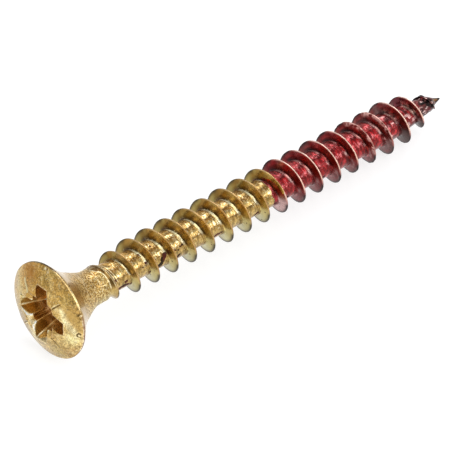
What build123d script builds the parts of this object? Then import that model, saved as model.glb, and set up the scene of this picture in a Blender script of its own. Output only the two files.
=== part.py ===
from build123d import *
from math import asin, atan, cos, pi, radians, sin, sqrt, tan
import os

os.makedirs("parts", exist_ok=True)

# ---------------------------------------------------------------------------
# All-purpose wood screw, 4.0 x 40, raised countersunk head, cross recess.
# One piece of cold-headed, thread-rolled steel wire, lying at rest on its side.
# Millimetres, +Z up. The head is towards +X and the point towards -X.
# Distances "s" run along the screw's own axis from the seat edge of the head
# rim (s = 0) to the point; "r" is the radius from that axis.
# ---------------------------------------------------------------------------

# head
head_diameter = 7.74
rim_land = 0.18          # straight edge of the rim
dome_height = 1.12       # raised part above the rim
seat_cone = 1.05         # axial length of the straight 90 degree seat cone

# neck and core
neck_diameter = 2.80
neck_end = 4.45          # where the neck gives way to the rolled thread
core_diameter = 2.38
seat_to_point = 38.70    # rim seat edge to the point
point_radius = 0.04      # the point is not quite sharp

# thread, right-hand, single start
thread_diameter = 4.0
pitch = 1.8
crest_width = 0.08
flank_head = 12.0        # flank angle on the head side, degrees from square
flank_point = 18.0       # flank angle on the point side
thread_phase = 6.538     # s of the crest that turns are counted from, head end
root_bite = 0.13         # how far the thread's root edges reach into the core

# cross recess
recess_wing_radius = 2.43     # at the mouth
recess_wing_width = 1.02
recess_depth = 2.55           # from the top of the raised head
recess_spin = -4.75           # degrees, first wing from the top side
mark_inner, mark_outer = 1.90, 2.85   # the four short radial marks between the wings
mark_radius = 0.075

# crest radius against turns from the phase crest: it grows out of the neck,
# is full for fourteen turns and runs down to the point
crest_table = [
    (-1.33, 1.37), (-1.25, 1.395), (-1.0, 1.475), (-0.5, 1.64), (0.0, 1.80),
    (0.40, 1.93), (0.70, 1.99), (0.90, 2.0), (15.05, 2.0), (15.25, 1.97),
    (15.5, 1.88), (16.0, 1.66), (16.5, 1.37), (17.0, 0.90), (17.3, 0.70), (17.55, 0.46),
]
# core radius against s at the point end
point_table = [
    (31.6, core_diameter / 2), (33.2, 1.13), (34.4, 1.03), (35.4, 0.90),
    (36.4, 0.72), (37.3, 0.53), (37.9, 0.36), (38.25, 0.21),
]

# ---------------------------------------------------------------------------
# where it lies: on the seat edge of the head rim and on one thread crest
# ---------------------------------------------------------------------------
turn_shift = 50.95 / 360.0     # crests are counted from a line turned this much from the top side
rest_crest_turn = 14.0 + (50.95 + 180.0) / 360.0
rest_crest_s = thread_phase - turn_shift * pitch + pitch * rest_crest_turn
head_r = head_diameter / 2
tilt = atan((head_r - thread_diameter / 2) / (rest_crest_s + crest_width / 2))

axis_dir = Vector(-cos(tilt), 0, -sin(tilt))     # head to point
up_dir = Vector(-sin(tilt), 0, cos(tilt))        # square to the axis, on the top side
mid_x = (seat_to_point - rim_land - dome_height) / 2 * cos(tilt)
seat_centre = Vector(mid_x, 0, head_r * cos(tilt))

across = Plane(origin=seat_centre, x_dir=up_dir, z_dir=axis_dir)        # square to the axis
along = Plane(origin=seat_centre, x_dir=axis_dir, z_dir=Vector(0, 1, 0))  # (s, r) half-plane
screw_axis = Axis(seat_centre, axis_dir)


def at(s, r, turn):
    """A point at s along the axis, r from it, and turn whole turns from the top side."""
    a = 2 * pi * turn
    return across.from_local_coords(Vector(r * cos(a), r * sin(a), s))


def lookup(table, x):
    """Linear reading of a table of (x, y) pairs."""
    if x <= table[0][0]:
        return table[0][1]
    for (x0, y0), (x1, y1) in zip(table, table[1:]):
        if x <= x1:
            return y0 + (y1 - y0) * (x - x0) / (x1 - x0)
    return table[-1][1]


# ---------------------------------------------------------------------------
# thread: a ridge that winds up the core. Its four long edges are splines,
# one turn each, joined by ruled flanks, a narrow crest and a buried underside
# ---------------------------------------------------------------------------
core_r = core_diameter / 2
first_turn, last_turn = crest_table[0][0], crest_table[-1][0]
# core and neck radius against s
body_table = [(neck_end, neck_diameter / 2), (neck_end + 0.55, core_r + 0.05), (neck_end + 0.95, core_r)] + point_table


def ridge(turn):
    """(s, r) of the four corners of the ridge where its crest is turn turns along."""
    s = thread_phase - turn_shift * pitch + pitch * turn
    crest = lookup(crest_table, turn)
    root = lookup(body_table, s) - root_bite
    if crest - root < 0.08:
        root = crest - 0.08
    h = crest - root
    half = crest_width / 2
    return (
        (s - half - h * tan(radians(flank_head)), root),
        (s - half, crest),
        (s + half, crest),
        (s + half + h * tan(radians(flank_point)), root),
    )


def ridge_edges(t0, t1, steps):
    """The four long edges of the ridge from turn t0 to t1."""
    turns = [t0 + (t1 - t0) * i / steps for i in range(steps + 1)]
    eps = 1e-4
    edges = []
    for c in range(4):
        pts = [at(*ridge(t)[c], t - turn_shift) for t in turns]
        ends = []
        for t in (t0, t1):
            lo, hi = max(first_turn, t - eps), min(last_turn, t + eps)
            d = at(*ridge(hi)[c], hi - turn_shift) - at(*ridge(lo)[c], lo - turn_shift)
            ends.append(d / (hi - lo))
        edges.append(
            Edge.make_spline(pts, tangents=ends, parameters=turns, scale=False)
        )
    return edges


def cap(turn):
    """The flat end of the ridge."""
    p = [at(s, r, turn - turn_shift) for s, r in ridge(turn)]
    return Face(Wire([Edge.make_line(p[i], p[(i + 1) % 4]) for i in range(4)]))


breaks = [first_turn] + [float(n) for n in range(-1, 18)] + [last_turn]
ridge_faces = [cap(first_turn), cap(last_turn)]
for t0, t1 in zip(breaks, breaks[1:]):
    e = ridge_edges(t0, t1, max(6, round(24 * (t1 - t0))))
    for c in range(4):
        ridge_faces.append(Face.make_surface_from_curves(e[c], e[(c + 1) % 4]))
thread_ridge = Solid(Shell(ridge_faces))

# ---------------------------------------------------------------------------
# recess: a tapering eight-cornered cross, cut down from the raised head
# ---------------------------------------------------------------------------
dome_sphere = (head_r**2 + dome_height**2) / (2 * dome_height)
top_s = -rim_land - dome_height


def cross_outline(wing_r, wing_w, root_r, notch_r):
    """Corners of the cross: two at each wing's end, two at its root and one between wings."""
    pts = []
    for k in range(4):
        a = 90.0 * k + recess_spin
        end = asin(wing_w / 2 / wing_r)
        for ang, r in (
            (radians(a) - end, wing_r), (radians(a) + end, wing_r),
            (radians(a + 30.0), root_r), (radians(a + 45.0), notch_r), (radians(a + 60.0), root_r),
        ):
            pts.append((r * cos(ang), r * sin(ang)))
    return pts


with BuildPart() as recess:
    # the mouth section stands above the dome, and the walls pass through the
    # dome's surface at the mouth sizes given above
    above = 0.25
    grow = above + 0.30
    with BuildSketch(across.offset(top_s - above)):
        Polygon(*cross_outline(recess_wing_radius + 0.43 * grow, recess_wing_width + 0.10 * grow,
                               1.76 + 0.34 * grow, 1.87 + 0.38 * grow), align=None)
    with BuildSketch(across.offset(top_s + recess_depth)):
        Polygon(*cross_outline(recess_wing_radius - 0.43 * (recess_depth - 0.30),
                               recess_wing_width - 0.10 * (recess_depth - 0.30),
                               1.76 - 0.34 * (recess_depth - 0.30),
                               1.87 - 0.38 * (recess_depth - 0.30)), align=None)
    loft(ruled=True)
    # the blunt cone at the bottom
    with BuildSketch(along):
        Polygon((top_s + recess_depth - 0.1, 0), (top_s + recess_depth - 0.1, 0.90),
                (top_s + recess_depth, 0.90), (top_s + recess_depth + 0.42, 0), align=None)
    revolve(axis=screw_axis)

with BuildPart() as marks:
    # four short grooves that follow the dome between the wings
    sphere_s = top_s + dome_sphere
    for k in range(4):
        a = radians(90.0 * k + 45.0 + recess_spin)
        centre = at(sphere_s, 0, 0)
        radial = at(sphere_s, 1, a / (2 * pi)) - centre
        side = radial.cross(axis_dir)
        a0, a1 = asin(mark_inner / dome_sphere), asin(mark_outer / dome_sphere)
        start = radial * sin(a0) - axis_dir * cos(a0)
        spot = centre + start * (dome_sphere + 0.02)
        with BuildSketch(Plane(origin=spot, x_dir=start, z_dir=side.cross(start))):
            Circle(mark_radius)
        turn_axis = Axis(centre, side)
        swing = (a1 - a0) * 180 / pi
        revolve(axis=turn_axis, revolution_arc=swing)

# ---------------------------------------------------------------------------
# the screw
# ---------------------------------------------------------------------------
with BuildPart() as screw:
    with BuildSketch(along):
        with BuildLine():
            dome_top = (top_s, 0)
            dome_edge = (-rim_land, head_r)
            mid_r = head_r / 2
            dome_mid = (top_s + dome_sphere - sqrt(dome_sphere**2 - mid_r**2), mid_r)
            ThreePointArc(dome_top, dome_mid, dome_edge)
            Line(dome_edge, (0, head_r))
            seat_end = (seat_cone, head_r - seat_cone)
            Line((0, head_r), seat_end)
            # the seat runs out into the neck in a trumpet curve
            Spline(seat_end, (1.60, 2.37), (2.33, 1.93), (3.00, 1.59), (3.65, neck_diameter / 2),
                   tangents=((1, -1), (1, -0.04)))
            Line((3.65, neck_diameter / 2), (neck_end, neck_diameter / 2))
            # thread rolling squeezes the blank down to the core
            Line((neck_end, neck_diameter / 2), (neck_end + 0.55, core_r + 0.05))
            Line((neck_end + 0.55, core_r + 0.05), (neck_end + 0.95, core_r))
            Line((neck_end + 0.95, core_r), point_table[0])
            Spline(*point_table, tangents=((1, 0), (0.35, -0.36)))
            Line(point_table[-1], (seat_to_point - 0.02, point_radius))
            Line((seat_to_point - 0.02, point_radius), (seat_to_point, 0))
            Line((seat_to_point, 0), dome_top)
        make_face()
    revolve(axis=screw_axis)
    add(thread_ridge)
    add(recess.part, mode=Mode.SUBTRACT)
    add(marks.part, mode=Mode.SUBTRACT)

screw.part.label = "screw"
export_step(screw.part, "parts/screw.step")

if __name__ == "__main__":
    box = screw.part.bounding_box()
    print("tilt degrees", round(tilt * 180 / pi, 3), "rest crest s", round(rest_crest_s, 3))
    print("axis", axis_dir, "up", up_dir, "seat centre", seat_centre)
    print("box", box, "solids", len(screw.part.solids()), "volume", round(screw.part.volume, 3))
    print("faces", len(screw.part.faces()), "valid", screw.part.is_valid)
    print("thread ridge valid", thread_ridge.is_valid, round(thread_ridge.volume, 3))
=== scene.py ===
import math

import bmesh
import bpy
import numpy as np
from mathutils import Matrix, Vector


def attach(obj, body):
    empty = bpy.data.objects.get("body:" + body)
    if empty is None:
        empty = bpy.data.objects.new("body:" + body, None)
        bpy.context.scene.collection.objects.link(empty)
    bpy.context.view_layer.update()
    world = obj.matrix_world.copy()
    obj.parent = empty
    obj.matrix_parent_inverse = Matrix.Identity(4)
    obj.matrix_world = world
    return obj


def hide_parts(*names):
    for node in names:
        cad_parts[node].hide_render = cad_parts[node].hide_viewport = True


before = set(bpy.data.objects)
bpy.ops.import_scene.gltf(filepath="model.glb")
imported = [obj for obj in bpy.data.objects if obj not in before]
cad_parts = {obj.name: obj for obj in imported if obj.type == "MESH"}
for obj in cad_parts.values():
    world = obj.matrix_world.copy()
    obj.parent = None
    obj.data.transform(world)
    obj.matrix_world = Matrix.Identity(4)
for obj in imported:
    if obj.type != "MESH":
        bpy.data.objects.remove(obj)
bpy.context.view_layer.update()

# ---------------------------------------------------------------------------
# The screw's own coordinates, in millimetres: s along the axis from the seat
# edge of the head rim to the point, r from the axis, and A in degrees round it.
# A = 0 is the side away from the floor's front, A = 90 the side seen most.
# ---------------------------------------------------------------------------
TILT = 0.0571627
AXIS = np.array([-math.cos(TILT), 0.0, -math.sin(TILT)])
UP = np.array([-math.sin(TILT), 0.0, math.cos(TILT)])
SIDE = np.array([0.0, 1.0, 0.0])
SEAT = np.array([18.66946, 0.0, 3.86368])
A_UP = 50.95
PITCH = 1.8
CREST_0 = 6.2832            # s of the crest that turns are counted from, at A = 0
E0 = math.cos(math.radians(-A_UP)) * UP + math.sin(math.radians(-A_UP)) * SIDE      # A = 0
E90 = math.cos(math.radians(90 - A_UP)) * UP + math.sin(math.radians(90 - A_UP)) * SIDE  # A = 90


def own_xyz(s, r, a):
    """Points in the screw's own square frame: along E0, along E90, along the axis."""
    t = np.radians(a)
    return np.stack([r * np.cos(t), r * np.sin(t), s + 0 * t], -1)


def to_row(p):
    """From the own square frame to the row frame, in mm."""
    return SEAT + p[:, 0:1] * E0 + p[:, 1:2] * E90 + p[:, 2:3] * AXIS


# ---------------------------------------------------------------------------
# smooth noise, seeded, the same on every run
# ---------------------------------------------------------------------------
def _hash(ix, iy, iz, seed):
    with np.errstate(over="ignore"):
        h = (ix.astype(np.int64) * 374761393 + iy.astype(np.int64) * 668265263
             + iz.astype(np.int64) * 2147483647 + seed * 974634777) & 0xFFFFFFFF
        h = ((h ^ (h >> 13)) * 1274126177) & 0xFFFFFFFF
        h = ((h ^ (h >> 16)) * 2246822519) & 0xFFFFFFFF
        h = h ^ (h >> 15)
    return (h & 0xFFFFFF) / float(0x1000000)


def noise(p, size, seed):
    """Value noise from -1 to 1 over points in mm, with features of about size mm."""
    q = np.asarray(p, float) / size + 100.0
    i = np.floor(q).astype(np.int64)
    f = q - i
    f = f * f * f * (f * (f * 6 - 15) + 10)
    out = 0.0
    for dx in (0, 1):
        wx = f[..., 0] if dx else 1 - f[..., 0]
        for dy in (0, 1):
            wy = f[..., 1] if dy else 1 - f[..., 1]
            for dz in (0, 1):
                wz = f[..., 2] if dz else 1 - f[..., 2]
                out = out + wx * wy * wz * _hash(i[..., 0] + dx, i[..., 1] + dy, i[..., 2] + dz, seed)
    return out * 2 - 1


def smooth(x, a, b):
    t = np.clip((x - a) / (b - a), 0, 1)
    return t * t * (3 - 2 * t)


def bump(x, centre, width):
    return np.exp(-((x - centre) / width) ** 2)


def turn_gap(a, b):
    """Degrees from b to a, from -180 to 180."""
    return (np.asarray(a) - b + 180.0) % 360.0 - 180.0


# ---------------------------------------------------------------------------
# mesh builder
# ---------------------------------------------------------------------------
class Mesh:
    def __init__(self):
        self.s, self.r, self.a, self.tags = [], [], [], []
        self.quads, self.tris = [], []
        self.count = 0

    def ring(self, s, r, a, **tags):
        s, r, a = np.broadcast_arrays(np.asarray(s, float), np.asarray(r, float), np.asarray(a, float))
        s, r, a = s.ravel().copy(), r.ravel().copy(), a.ravel().copy()
        ids = np.arange(self.count, self.count + len(s))
        self.count += len(s)
        self.s.append(s)
        self.r.append(r)
        self.a.append(a)
        row = {k: np.broadcast_to(np.asarray(v, float), s.shape).copy() for k, v in tags.items()}
        self.tags.append((len(s), row))
        return ids

    def band(self, lower, upper):
        """Quads between two closed rings of the same count. Upper is nearer the point."""
        l2, u2 = np.roll(lower, -1), np.roll(upper, -1)
        self.quads.append(np.stack([lower, upper, u2, l2], -1))

    def zipper(self, lower, la, upper, ua):
        """Triangles between two closed rings with different counts, by angle."""
        la, ua = np.asarray(la) % 360, np.asarray(ua) % 360
        lo, uo = np.argsort(la), np.argsort(ua)
        lower, la, upper, ua = lower[lo], la[lo], upper[uo], ua[uo]
        n, m = len(lower), len(upper)
        i = j = 0
        out = []
        while i < n or j < m:
            na = la[(i + 1) % n] + (360 if i + 1 >= n else 0)
            nb = ua[(j + 1) % m] + (360 if j + 1 >= m else 0)
            if j >= m or (i < n and na <= nb):
                out.append((lower[i % n], upper[j % m], lower[(i + 1) % n]))
                i += 1
            else:
                out.append((lower[i % n], upper[j % m], upper[(j + 1) % m]))
                j += 1
        self.tris.append(np.array(out))

    def fan(self, centre, rim, flip=False):
        r2 = np.roll(rim, -1)
        c = np.full(len(rim), centre)
        self.tris.append(np.stack([c, rim, r2] if not flip else [c, r2, rim], -1))


screw = Mesh()

# ---------------------------------------------------------------------------
# head: sizes
# ---------------------------------------------------------------------------
RIM_R, LAND, DOME_H = 3.87, 0.18, 1.12
RHO = (RIM_R**2 + DOME_H**2) / (2 * DOME_H)
TOP_S = -LAND - DOME_H
DEPTH = 2.55
WING_0 = 46.2               # A of the first wing
TICK_0 = 1.2                # A of the first short mark


def dome_s(r):
    return -LAND - (np.sqrt(RHO**2 - r**2) - (RHO - DOME_H))


def cross_keys(wing_r, wing_w, root_r, notch_r):
    """Corner angles and radii of the recess outline, from A = TICK_0."""
    ang, rad = [], []
    end = math.degrees(math.asin(wing_w / 2 / wing_r))
    for k in range(4):
        w = WING_0 + 90 * k
        for da, r in ((-45, notch_r), (-30, root_r), (-end, wing_r), (end, wing_r), (30, root_r)):
            ang.append(w + da)
            rad.append(r)
    return np.array(ang), np.array(rad)


MOUTH_A, MOUTH_R = cross_keys(2.47, 1.02, 1.76, 1.87)
FLOOR_A, FLOOR_R = cross_keys(1.47, 0.80, 1.00, 1.03)


def outline(keys_a, keys_r, t):
    """Point of an outline at key parameter t, 0 to 20 around, straight between corners."""
    i = np.floor(t).astype(int) % 20
    f = t - np.floor(t)
    j = (i + 1) % 20
    x = keys_r * np.cos(np.radians(keys_a))
    y = keys_r * np.sin(np.radians(keys_a))
    return x[i] * (1 - f) + x[j] * f, y[i] * (1 - f) + y[j] * f


# the head's columns: one set of key parameters, tight at the corners
def column_keys():
    seg = []
    for k in range(20):
        kind = k % 5
        # lengths in mm of the five sides: notch-root, root-end, end, end-root, root-notch
        n = (9, 14, 15, 14, 9)[kind]
        u = np.linspace(0, 1, n + 1)[:-1]
        # draw the columns towards the two corners
        u = u - 0.10 * np.sin(2 * np.pi * u)
        near = {0: (0.035, 0.07), 1: (0.02, 0.045), 2: (0.02, 0.05), 3: (0.02, 0.045), 4: (0.035, 0.07)}[kind]
        extra = [near[0], near[1], 1 - near[1], 1 - near[0]]
        u = np.unique(np.round(np.concatenate([u, extra]), 4))
        keep = [u[0]]
        for x in u[1:]:
            if x - keep[-1] > 0.012 and x < 0.995:
                keep.append(x)
        seg.append(k + np.array(keep))
    return np.concatenate(seg)


KEYS = column_keys()
NH = len(KEYS)
mx, my = outline(MOUTH_A, MOUTH_R, KEYS)
fx, fy = outline(FLOOR_A, FLOOR_R, KEYS)
HEAD_A = np.unwrap(np.arctan2(my, mx)) * 180 / np.pi
mouth_r = np.hypot(mx, my)
floor_r = np.hypot(fx, fy)
floor_a = np.unwrap(np.arctan2(fy, fx)) * 180 / np.pi

# corner nearness along the outline, for burrs
near_end = np.zeros(NH)
for k in range(20):
    if k % 5 in (2, 3):
        px, py = outline(MOUTH_A, MOUTH_R, np.array([float(k)]))
        near_end = np.maximum(near_end, np.exp(-(((mx - px) ** 2 + (my - py) ** 2) / 0.038**2)))


TICK_WANDER = 0.020
TICK_OUT = (3.02, 2.72, 2.85, 2.95)         # how far out the four short marks run


def dents(p):
    """How far the dome stands off its sphere, outward, in mm."""
    return (0.026 * noise(p, 1.5, 11) + 0.017 * noise(p, 0.7, 12) + 0.008 * noise(p, 0.32, 13)
            + 0.003 * noise(p, 0.15, 14))


def dome_point(x, y):
    """s of the head's top at x, y with its dents, marks and nicks."""
    r = np.hypot(x, y)
    a = np.degrees(np.arctan2(y, x))
    s = dome_s(np.minimum(r, RIM_R))
    p = np.stack([x, y, s], -1)
    s = s - dents(p) * smooth(RIM_R - r, 0.0, 0.25)
    # four short radial marks between the wings
    for k in range(4):
        d = np.radians(turn_gap(a, TICK_0 + 90 * k)) * r
        d = d - TICK_WANDER * noise(p, 0.35, 21 + k)
        long = smooth(r, 1.86, 1.93) * (1 - smooth(r, TICK_OUT[k] - 0.1, TICK_OUT[k]))
        s = s + long * (0.085 * np.exp(-(d / 0.050) ** 2) - 0.034 * np.exp(-((d + 0.115) / 0.055) ** 2)
                        - 0.018 * np.exp(-((d - 0.12) / 0.05) ** 2))
    # gouges: (A, r, size mm, depth mm)
    for ga, gr, gs, gd in (
        (46, 3.72, 0.13, 0.050), (42.5, 3.62, 0.08, 0.030), (50, 3.52, 0.07, 0.028),
        (110, 3.74, 0.14, 0.085), (107, 3.55, 0.08, 0.045),
        (100, 3.66, 0.07, 0.03), (118, 3.70, 0.10, 0.05),
        (188, 3.10, 0.09, 0.03), (172, 2.86, 0.07, 0.025),
        (300, 2.55, 0.10, 0.045), (292, 2.62, 0.07, 0.03),
    ):
        gx, gy = gr * math.cos(math.radians(ga)), gr * math.sin(math.radians(ga))
        s = s + gd * np.exp(-((x - gx) ** 2 + (y - gy) ** 2) / gs**2)
    # the C-shaped nick by the lower rim
    gx, gy = 3.60 * math.cos(math.radians(139)), 3.60 * math.sin(math.radians(139))
    dx, dy = x - gx, y - gy
    dr = np.hypot(dx, dy)
    da = np.degrees(np.arctan2(dy, dx))
    arc = 1 - smooth(np.abs(turn_gap(da, 139 + 180)), 95, 125)
    s = s + 0.095 * np.exp(-((dr - 0.19) / 0.055) ** 2) * arc - 0.03 * np.exp(-(dr / 0.10) ** 2)
    return s


# --- recess floor and walls ---
# Between the wings the mouth is rounded over into the recess, least at a wing's
# outer corners and most at its roots, and the wall drops from that inner edge.
nose = np.zeros(NH)
nose_in = np.zeros(NH)
for i, key in enumerate(KEYS):
    k, f = int(key) % 5, key - int(key)
    if k in (0, 4):                       # between a notch and a root
        g = f if k == 0 else 1 - f
        nose[i], nose_in[i] = 1.0, 0.42 + 0.07 * g
    elif k == 1:
        nose[i] = (1 - f) ** 1.7
        nose_in[i] = 0.49 * nose[i]
    elif k == 3:
        nose[i] = f ** 1.7
        nose_in[i] = 0.49 * nose[i]
# a wing's end wall leans in at its top
wing_end = np.array([1.0 if int(key) % 5 == 2 else 0.0 for key in KEYS])
nose_in = np.maximum(nose_in, 0.018 + 0.030 * wing_end)
nose_down = 0.30 * nose + 0.016 + 0.06 * wing_end
# two wings have one outer corner worn away, at its end wall
worn_end = np.zeros(NH)
for i, key in enumerate(KEYS):
    f = key - int(key)
    if int(key) == 12:
        worn_end[i] = 1 - f
    elif int(key) == 17:
        worn_end[i] = f
    elif int(key) == 11:
        worn_end[i] = max(0.0, 1 - 2.2 * (1 - f))
    elif int(key) == 18:
        worn_end[i] = max(0.0, 1 - 2.2 * f)
worn_end = smooth(worn_end, 0.05, 0.75)
nose_in = nose_in + 0.30 * worn_end
nose_down = nose_down + 0.46 * worn_end
# where painted highlights go: glints on the left notch's corners and lips
glow = np.zeros(NH)
for i, key in enumerate(KEYS):
    f = key - int(key)
    if int(key) == 16:
        glow[i] = 0.9 * (1 - smooth(f, 0.75, 1.0))
    elif int(key) == 13:
        glow[i] = 0.95 * smooth(f, 0.30, 0.65)
    elif int(key) in (14, 15):
        glow[i] = 0.45
# the burr: a painted highlight as a bright bead on it, and a dark pit beside it
burr_mark = np.exp(-((KEYS - 17.0) / 0.05) ** 2)       # the burr with a bright bead on it
mouth_a = np.arctan2(my, mx)
rag = noise(np.stack([mx, my, 0 * mx], -1), 0.30, 35) + 0.6 * noise(np.stack([mx, my, 0 * mx], -1), 0.14, 36)
nose_in = nose_in * (1 + 0.07 * rag)
inner_r = mouth_r - nose_in
ix, iy = inner_r * np.cos(mouth_a), inner_r * np.sin(mouth_a)
mouth_s = dome_point(mx, my)
inner_s = mouth_s + nose_down * (1 + 0.12 * rag)
root_corner = np.zeros(NH)
for k in range(20):
    if k % 5 in (1, 4):
        j = int(np.argmin(np.abs(KEYS - k)))
        root_corner = np.maximum(root_corner, np.exp(-(((ix - ix[j]) ** 2 + (iy - iy[j]) ** 2) / 0.07**2)))

painted_glint_corner = np.zeros(NH)
for k in (14, 16):
    j = int(np.argmin(np.abs(KEYS - k)))
    painted_glint_corner = np.maximum(painted_glint_corner, np.exp(-(((ix - ix[j]) ** 2 + (iy - iy[j]) ** 2) / 0.13**2)))

floor_s = TOP_S + DEPTH
apex = screw.ring(floor_s + 0.42, 0.0, 0.0, deep=1.0, edge=0.0, hollow=1.0)
prev = None
for q in (0.30, 0.60, 0.88):
    r = 0.90 * q
    ids = screw.ring(floor_s + 0.42 * (1 - q) ** 1.0 + 0.0 * floor_a, r, floor_a, deep=1.0, edge=0.0, hollow=1.0)
    if prev is None:
        screw.fan(apex[0], ids)
    else:
        screw.band(ids, prev)
    prev = ids
ids = screw.ring(floor_s, 0.5 * 0.90 + 0.5 * floor_r, floor_a, deep=1.0, edge=0.0, hollow=1.0)
screw.band(ids, prev)
prev = ids
for t in (0.0, 0.03, 0.09, 0.17, 0.26, 0.35, 0.44, 0.53, 0.62, 0.71, 0.79, 0.86, 0.92, 0.96, 0.985):
    x = fx + (ix - fx) * t
    y = fy + (iy - fy) * t
    s = floor_s + (inner_s - floor_s) * t
    # burrs run down the corners at the wings' ends, and the walls have tool marks
    p = np.stack([x, y, s], -1)
    inward = 0.050 * near_end * smooth(t, 0.05, 0.25) * (0.75 + 0.35 * noise(p, 0.25, 31))
    inward = inward + 0.012 * noise(p * np.array([1, 1, 0.30]), 0.20, 32) * smooth(t, 0.02, 0.1) * (1 - smooth(t, 0.9, 1.0))
    inward = inward + 0.006 * noise(p, 0.12, 33)
    r = np.hypot(x, y)
    x, y = x * (1 - inward / r), y * (1 - inward / r)
    ids = screw.ring(s, np.hypot(x, y), np.degrees(np.arctan2(y, x)), deep=1 - 0.35 * t, hollow=1.0,
                     lit=np.maximum(worn_end, 0.45 * wing_end) * smooth(t, 0.50, 1.0), side=KEYS,
                     glow=painted_glint_corner * smooth(t, 0.88, 0.985), bead=burr_mark * bump(t, 0.17, 0.04),
                     pit=burr_mark * bump(t, 0.09, 0.04), edge=near_end * (0.45 * smooth(t, 0.10, 0.25) + 0.55 * smooth(t, 0.55, 0.9)))
    screw.band(ids, prev)
    prev = ids
for t in (1.0, 0.93, 0.82, 0.68, 0.52, 0.35, 0.17):
    # t = 1 is the inner edge, t = 0 the mouth
    r = mouth_r - nose_in * t
    x, y = r * np.cos(mouth_a), r * np.sin(mouth_a)
    p = np.stack([x, y, 0 * x], -1)
    s = dome_point(x, y) * 0 + mouth_s + (inner_s - mouth_s) * t ** 1.6
    s = s - 0.020 * root_corner * bump(t, 0.95, 0.12) + 0.008 * noise(p, 0.22, 37) + 0.004 * noise(p, 0.11, 38)
    ids = screw.ring(s, r, np.degrees(np.unwrap(mouth_a)), deep=0.55 * smooth(t, 0.93, 1.0), hollow=1.0,
                     lit=np.maximum(worn_end, 0.45 * wing_end), side=KEYS,
                     glow=np.maximum(painted_glint_corner * smooth(t, 0.35, 0.75), glow * bump(t, 0.45, 0.28)), edge=np.maximum(0.9 * root_corner, near_end) * smooth(t, 0.5, 0.9))
    screw.band(ids, prev)
    prev = ids

# --- lip and dome ---
ca, sa = np.cos(np.radians(HEAD_A)), np.sin(np.radians(HEAD_A))
for out, drop, e in ((0.004, 0.006, 0.4), (0.030, -0.004, 0.4), (0.065, -0.008, 0.2), (0.10, -0.005, 0.1)):
    r = mouth_r + out
    x, y = r * ca, r * sa
    lip = (1 + 0.5 * noise(np.stack([x, y, 0 * x], -1), 0.3, 41)) * (1 - 0.6 * nose)
    ids = screw.ring(dome_point(x, y) + drop * lip, r, HEAD_A, deep=0.0, edge=e * (1 - nose))
    screw.band(ids, prev)
    prev = ids
start_r = mouth_r + 0.10
for t in (0.05, 0.11, 0.18, 0.26, 0.34, 0.43, 0.52, 0.61, 0.70, 0.80, 0.90, 1.0):
    r = start_r + (3.0 - start_r) * t
    ids = screw.ring(dome_point(r * ca, r * sa), r, HEAD_A, deep=0.0, edge=0.0)
    screw.band(ids, prev)
    prev = ids
for r in (3.08, 3.16, 3.24, 3.32, 3.40, 3.47, 3.54, 3.60, 3.66, 3.71, 3.76, 3.80, 3.83):
    rr = np.full(NH, r)
    ids = screw.ring(dome_point(rr * ca, rr * sa), rr, HEAD_A, deep=0.0, edge=smooth(r, 3.76, 3.84))
    screw.band(ids, prev)
    prev = ids


def rim_wear(a, s):
    """The rim's edge is nicked and not quite round, inward, in mm."""
    p = own_xyz(s, RIM_R + 0 * a, a)
    w = 0.010 * noise(p, 1.1, 51) + 0.008 * noise(p, 0.35, 52)
    for ga, gw, gd in ((110, 2.2, 0.10), (139, 3.0, 0.05), (46, 2.5, 0.05), (100, 1.2, 0.05), (127, 1.4, 0.04),
                       (203, 2.0, 0.04), (262, 2.4, 0.05), (318, 1.6, 0.04)):
        w = w - gd * np.exp(-(turn_gap(a, ga) / gw) ** 2) * np.exp(-((s + 0.16) / 0.14) ** 2)
    return w


for r, s in ((3.852, -0.186), (3.866, -0.170), (3.872, -0.14), (3.872, -0.09), (3.870, -0.045), (3.862, -0.012),
             (3.846, 0.014)):
    ss = np.full(NH, s)
    ids = screw.ring(ss, r + rim_wear(HEAD_A, ss), HEAD_A, deep=0.0, edge=1.0 if -0.2 < s < 0.0 else 0.6)
    screw.band(ids, prev)
    prev = ids

# --- seat cone and trumpet, with the shank's own columns ---
NS = 126
COLS = np.arange(NS) * 360.0 / NS
BODY = np.array([
    (0.04, 3.825), (0.12, 3.75), (0.30, 3.57), (0.50, 3.37), (0.70, 3.17), (0.90, 2.965), (1.05, 2.82), (1.20, 2.685),
    (1.40, 2.525), (1.60, 2.37), (1.85, 2.19), (2.10, 2.045), (2.33, 1.93), (2.60, 1.78), (2.80, 1.68), (3.00, 1.59),
    (3.20, 1.51), (3.40, 1.448), (3.65, 1.412), (4.00, 1.400), (4.45, 1.395), (4.62, 1.36), (4.80, 1.29), (5.00, 1.245),
    (5.25, 1.215), (5.45, 1.195), (5.8, 1.188), (31.6, 1.185), (32.4, 1.165), (33.3, 1.125), (34.4, 1.03), (35.4, 0.90),
    (36.4, 0.74), (36.9, 0.64), (37.3, 0.58), (37.6, 0.53), (37.85, 0.42), (38.02, 0.30), (38.2, 0.215), (38.35, 0.160), (38.5, 0.105),
    (38.62, 0.058), (38.70, 0.0),
])


def body_r(s):
    return np.interp(s, BODY[:, 0], BODY[:, 1])


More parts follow.
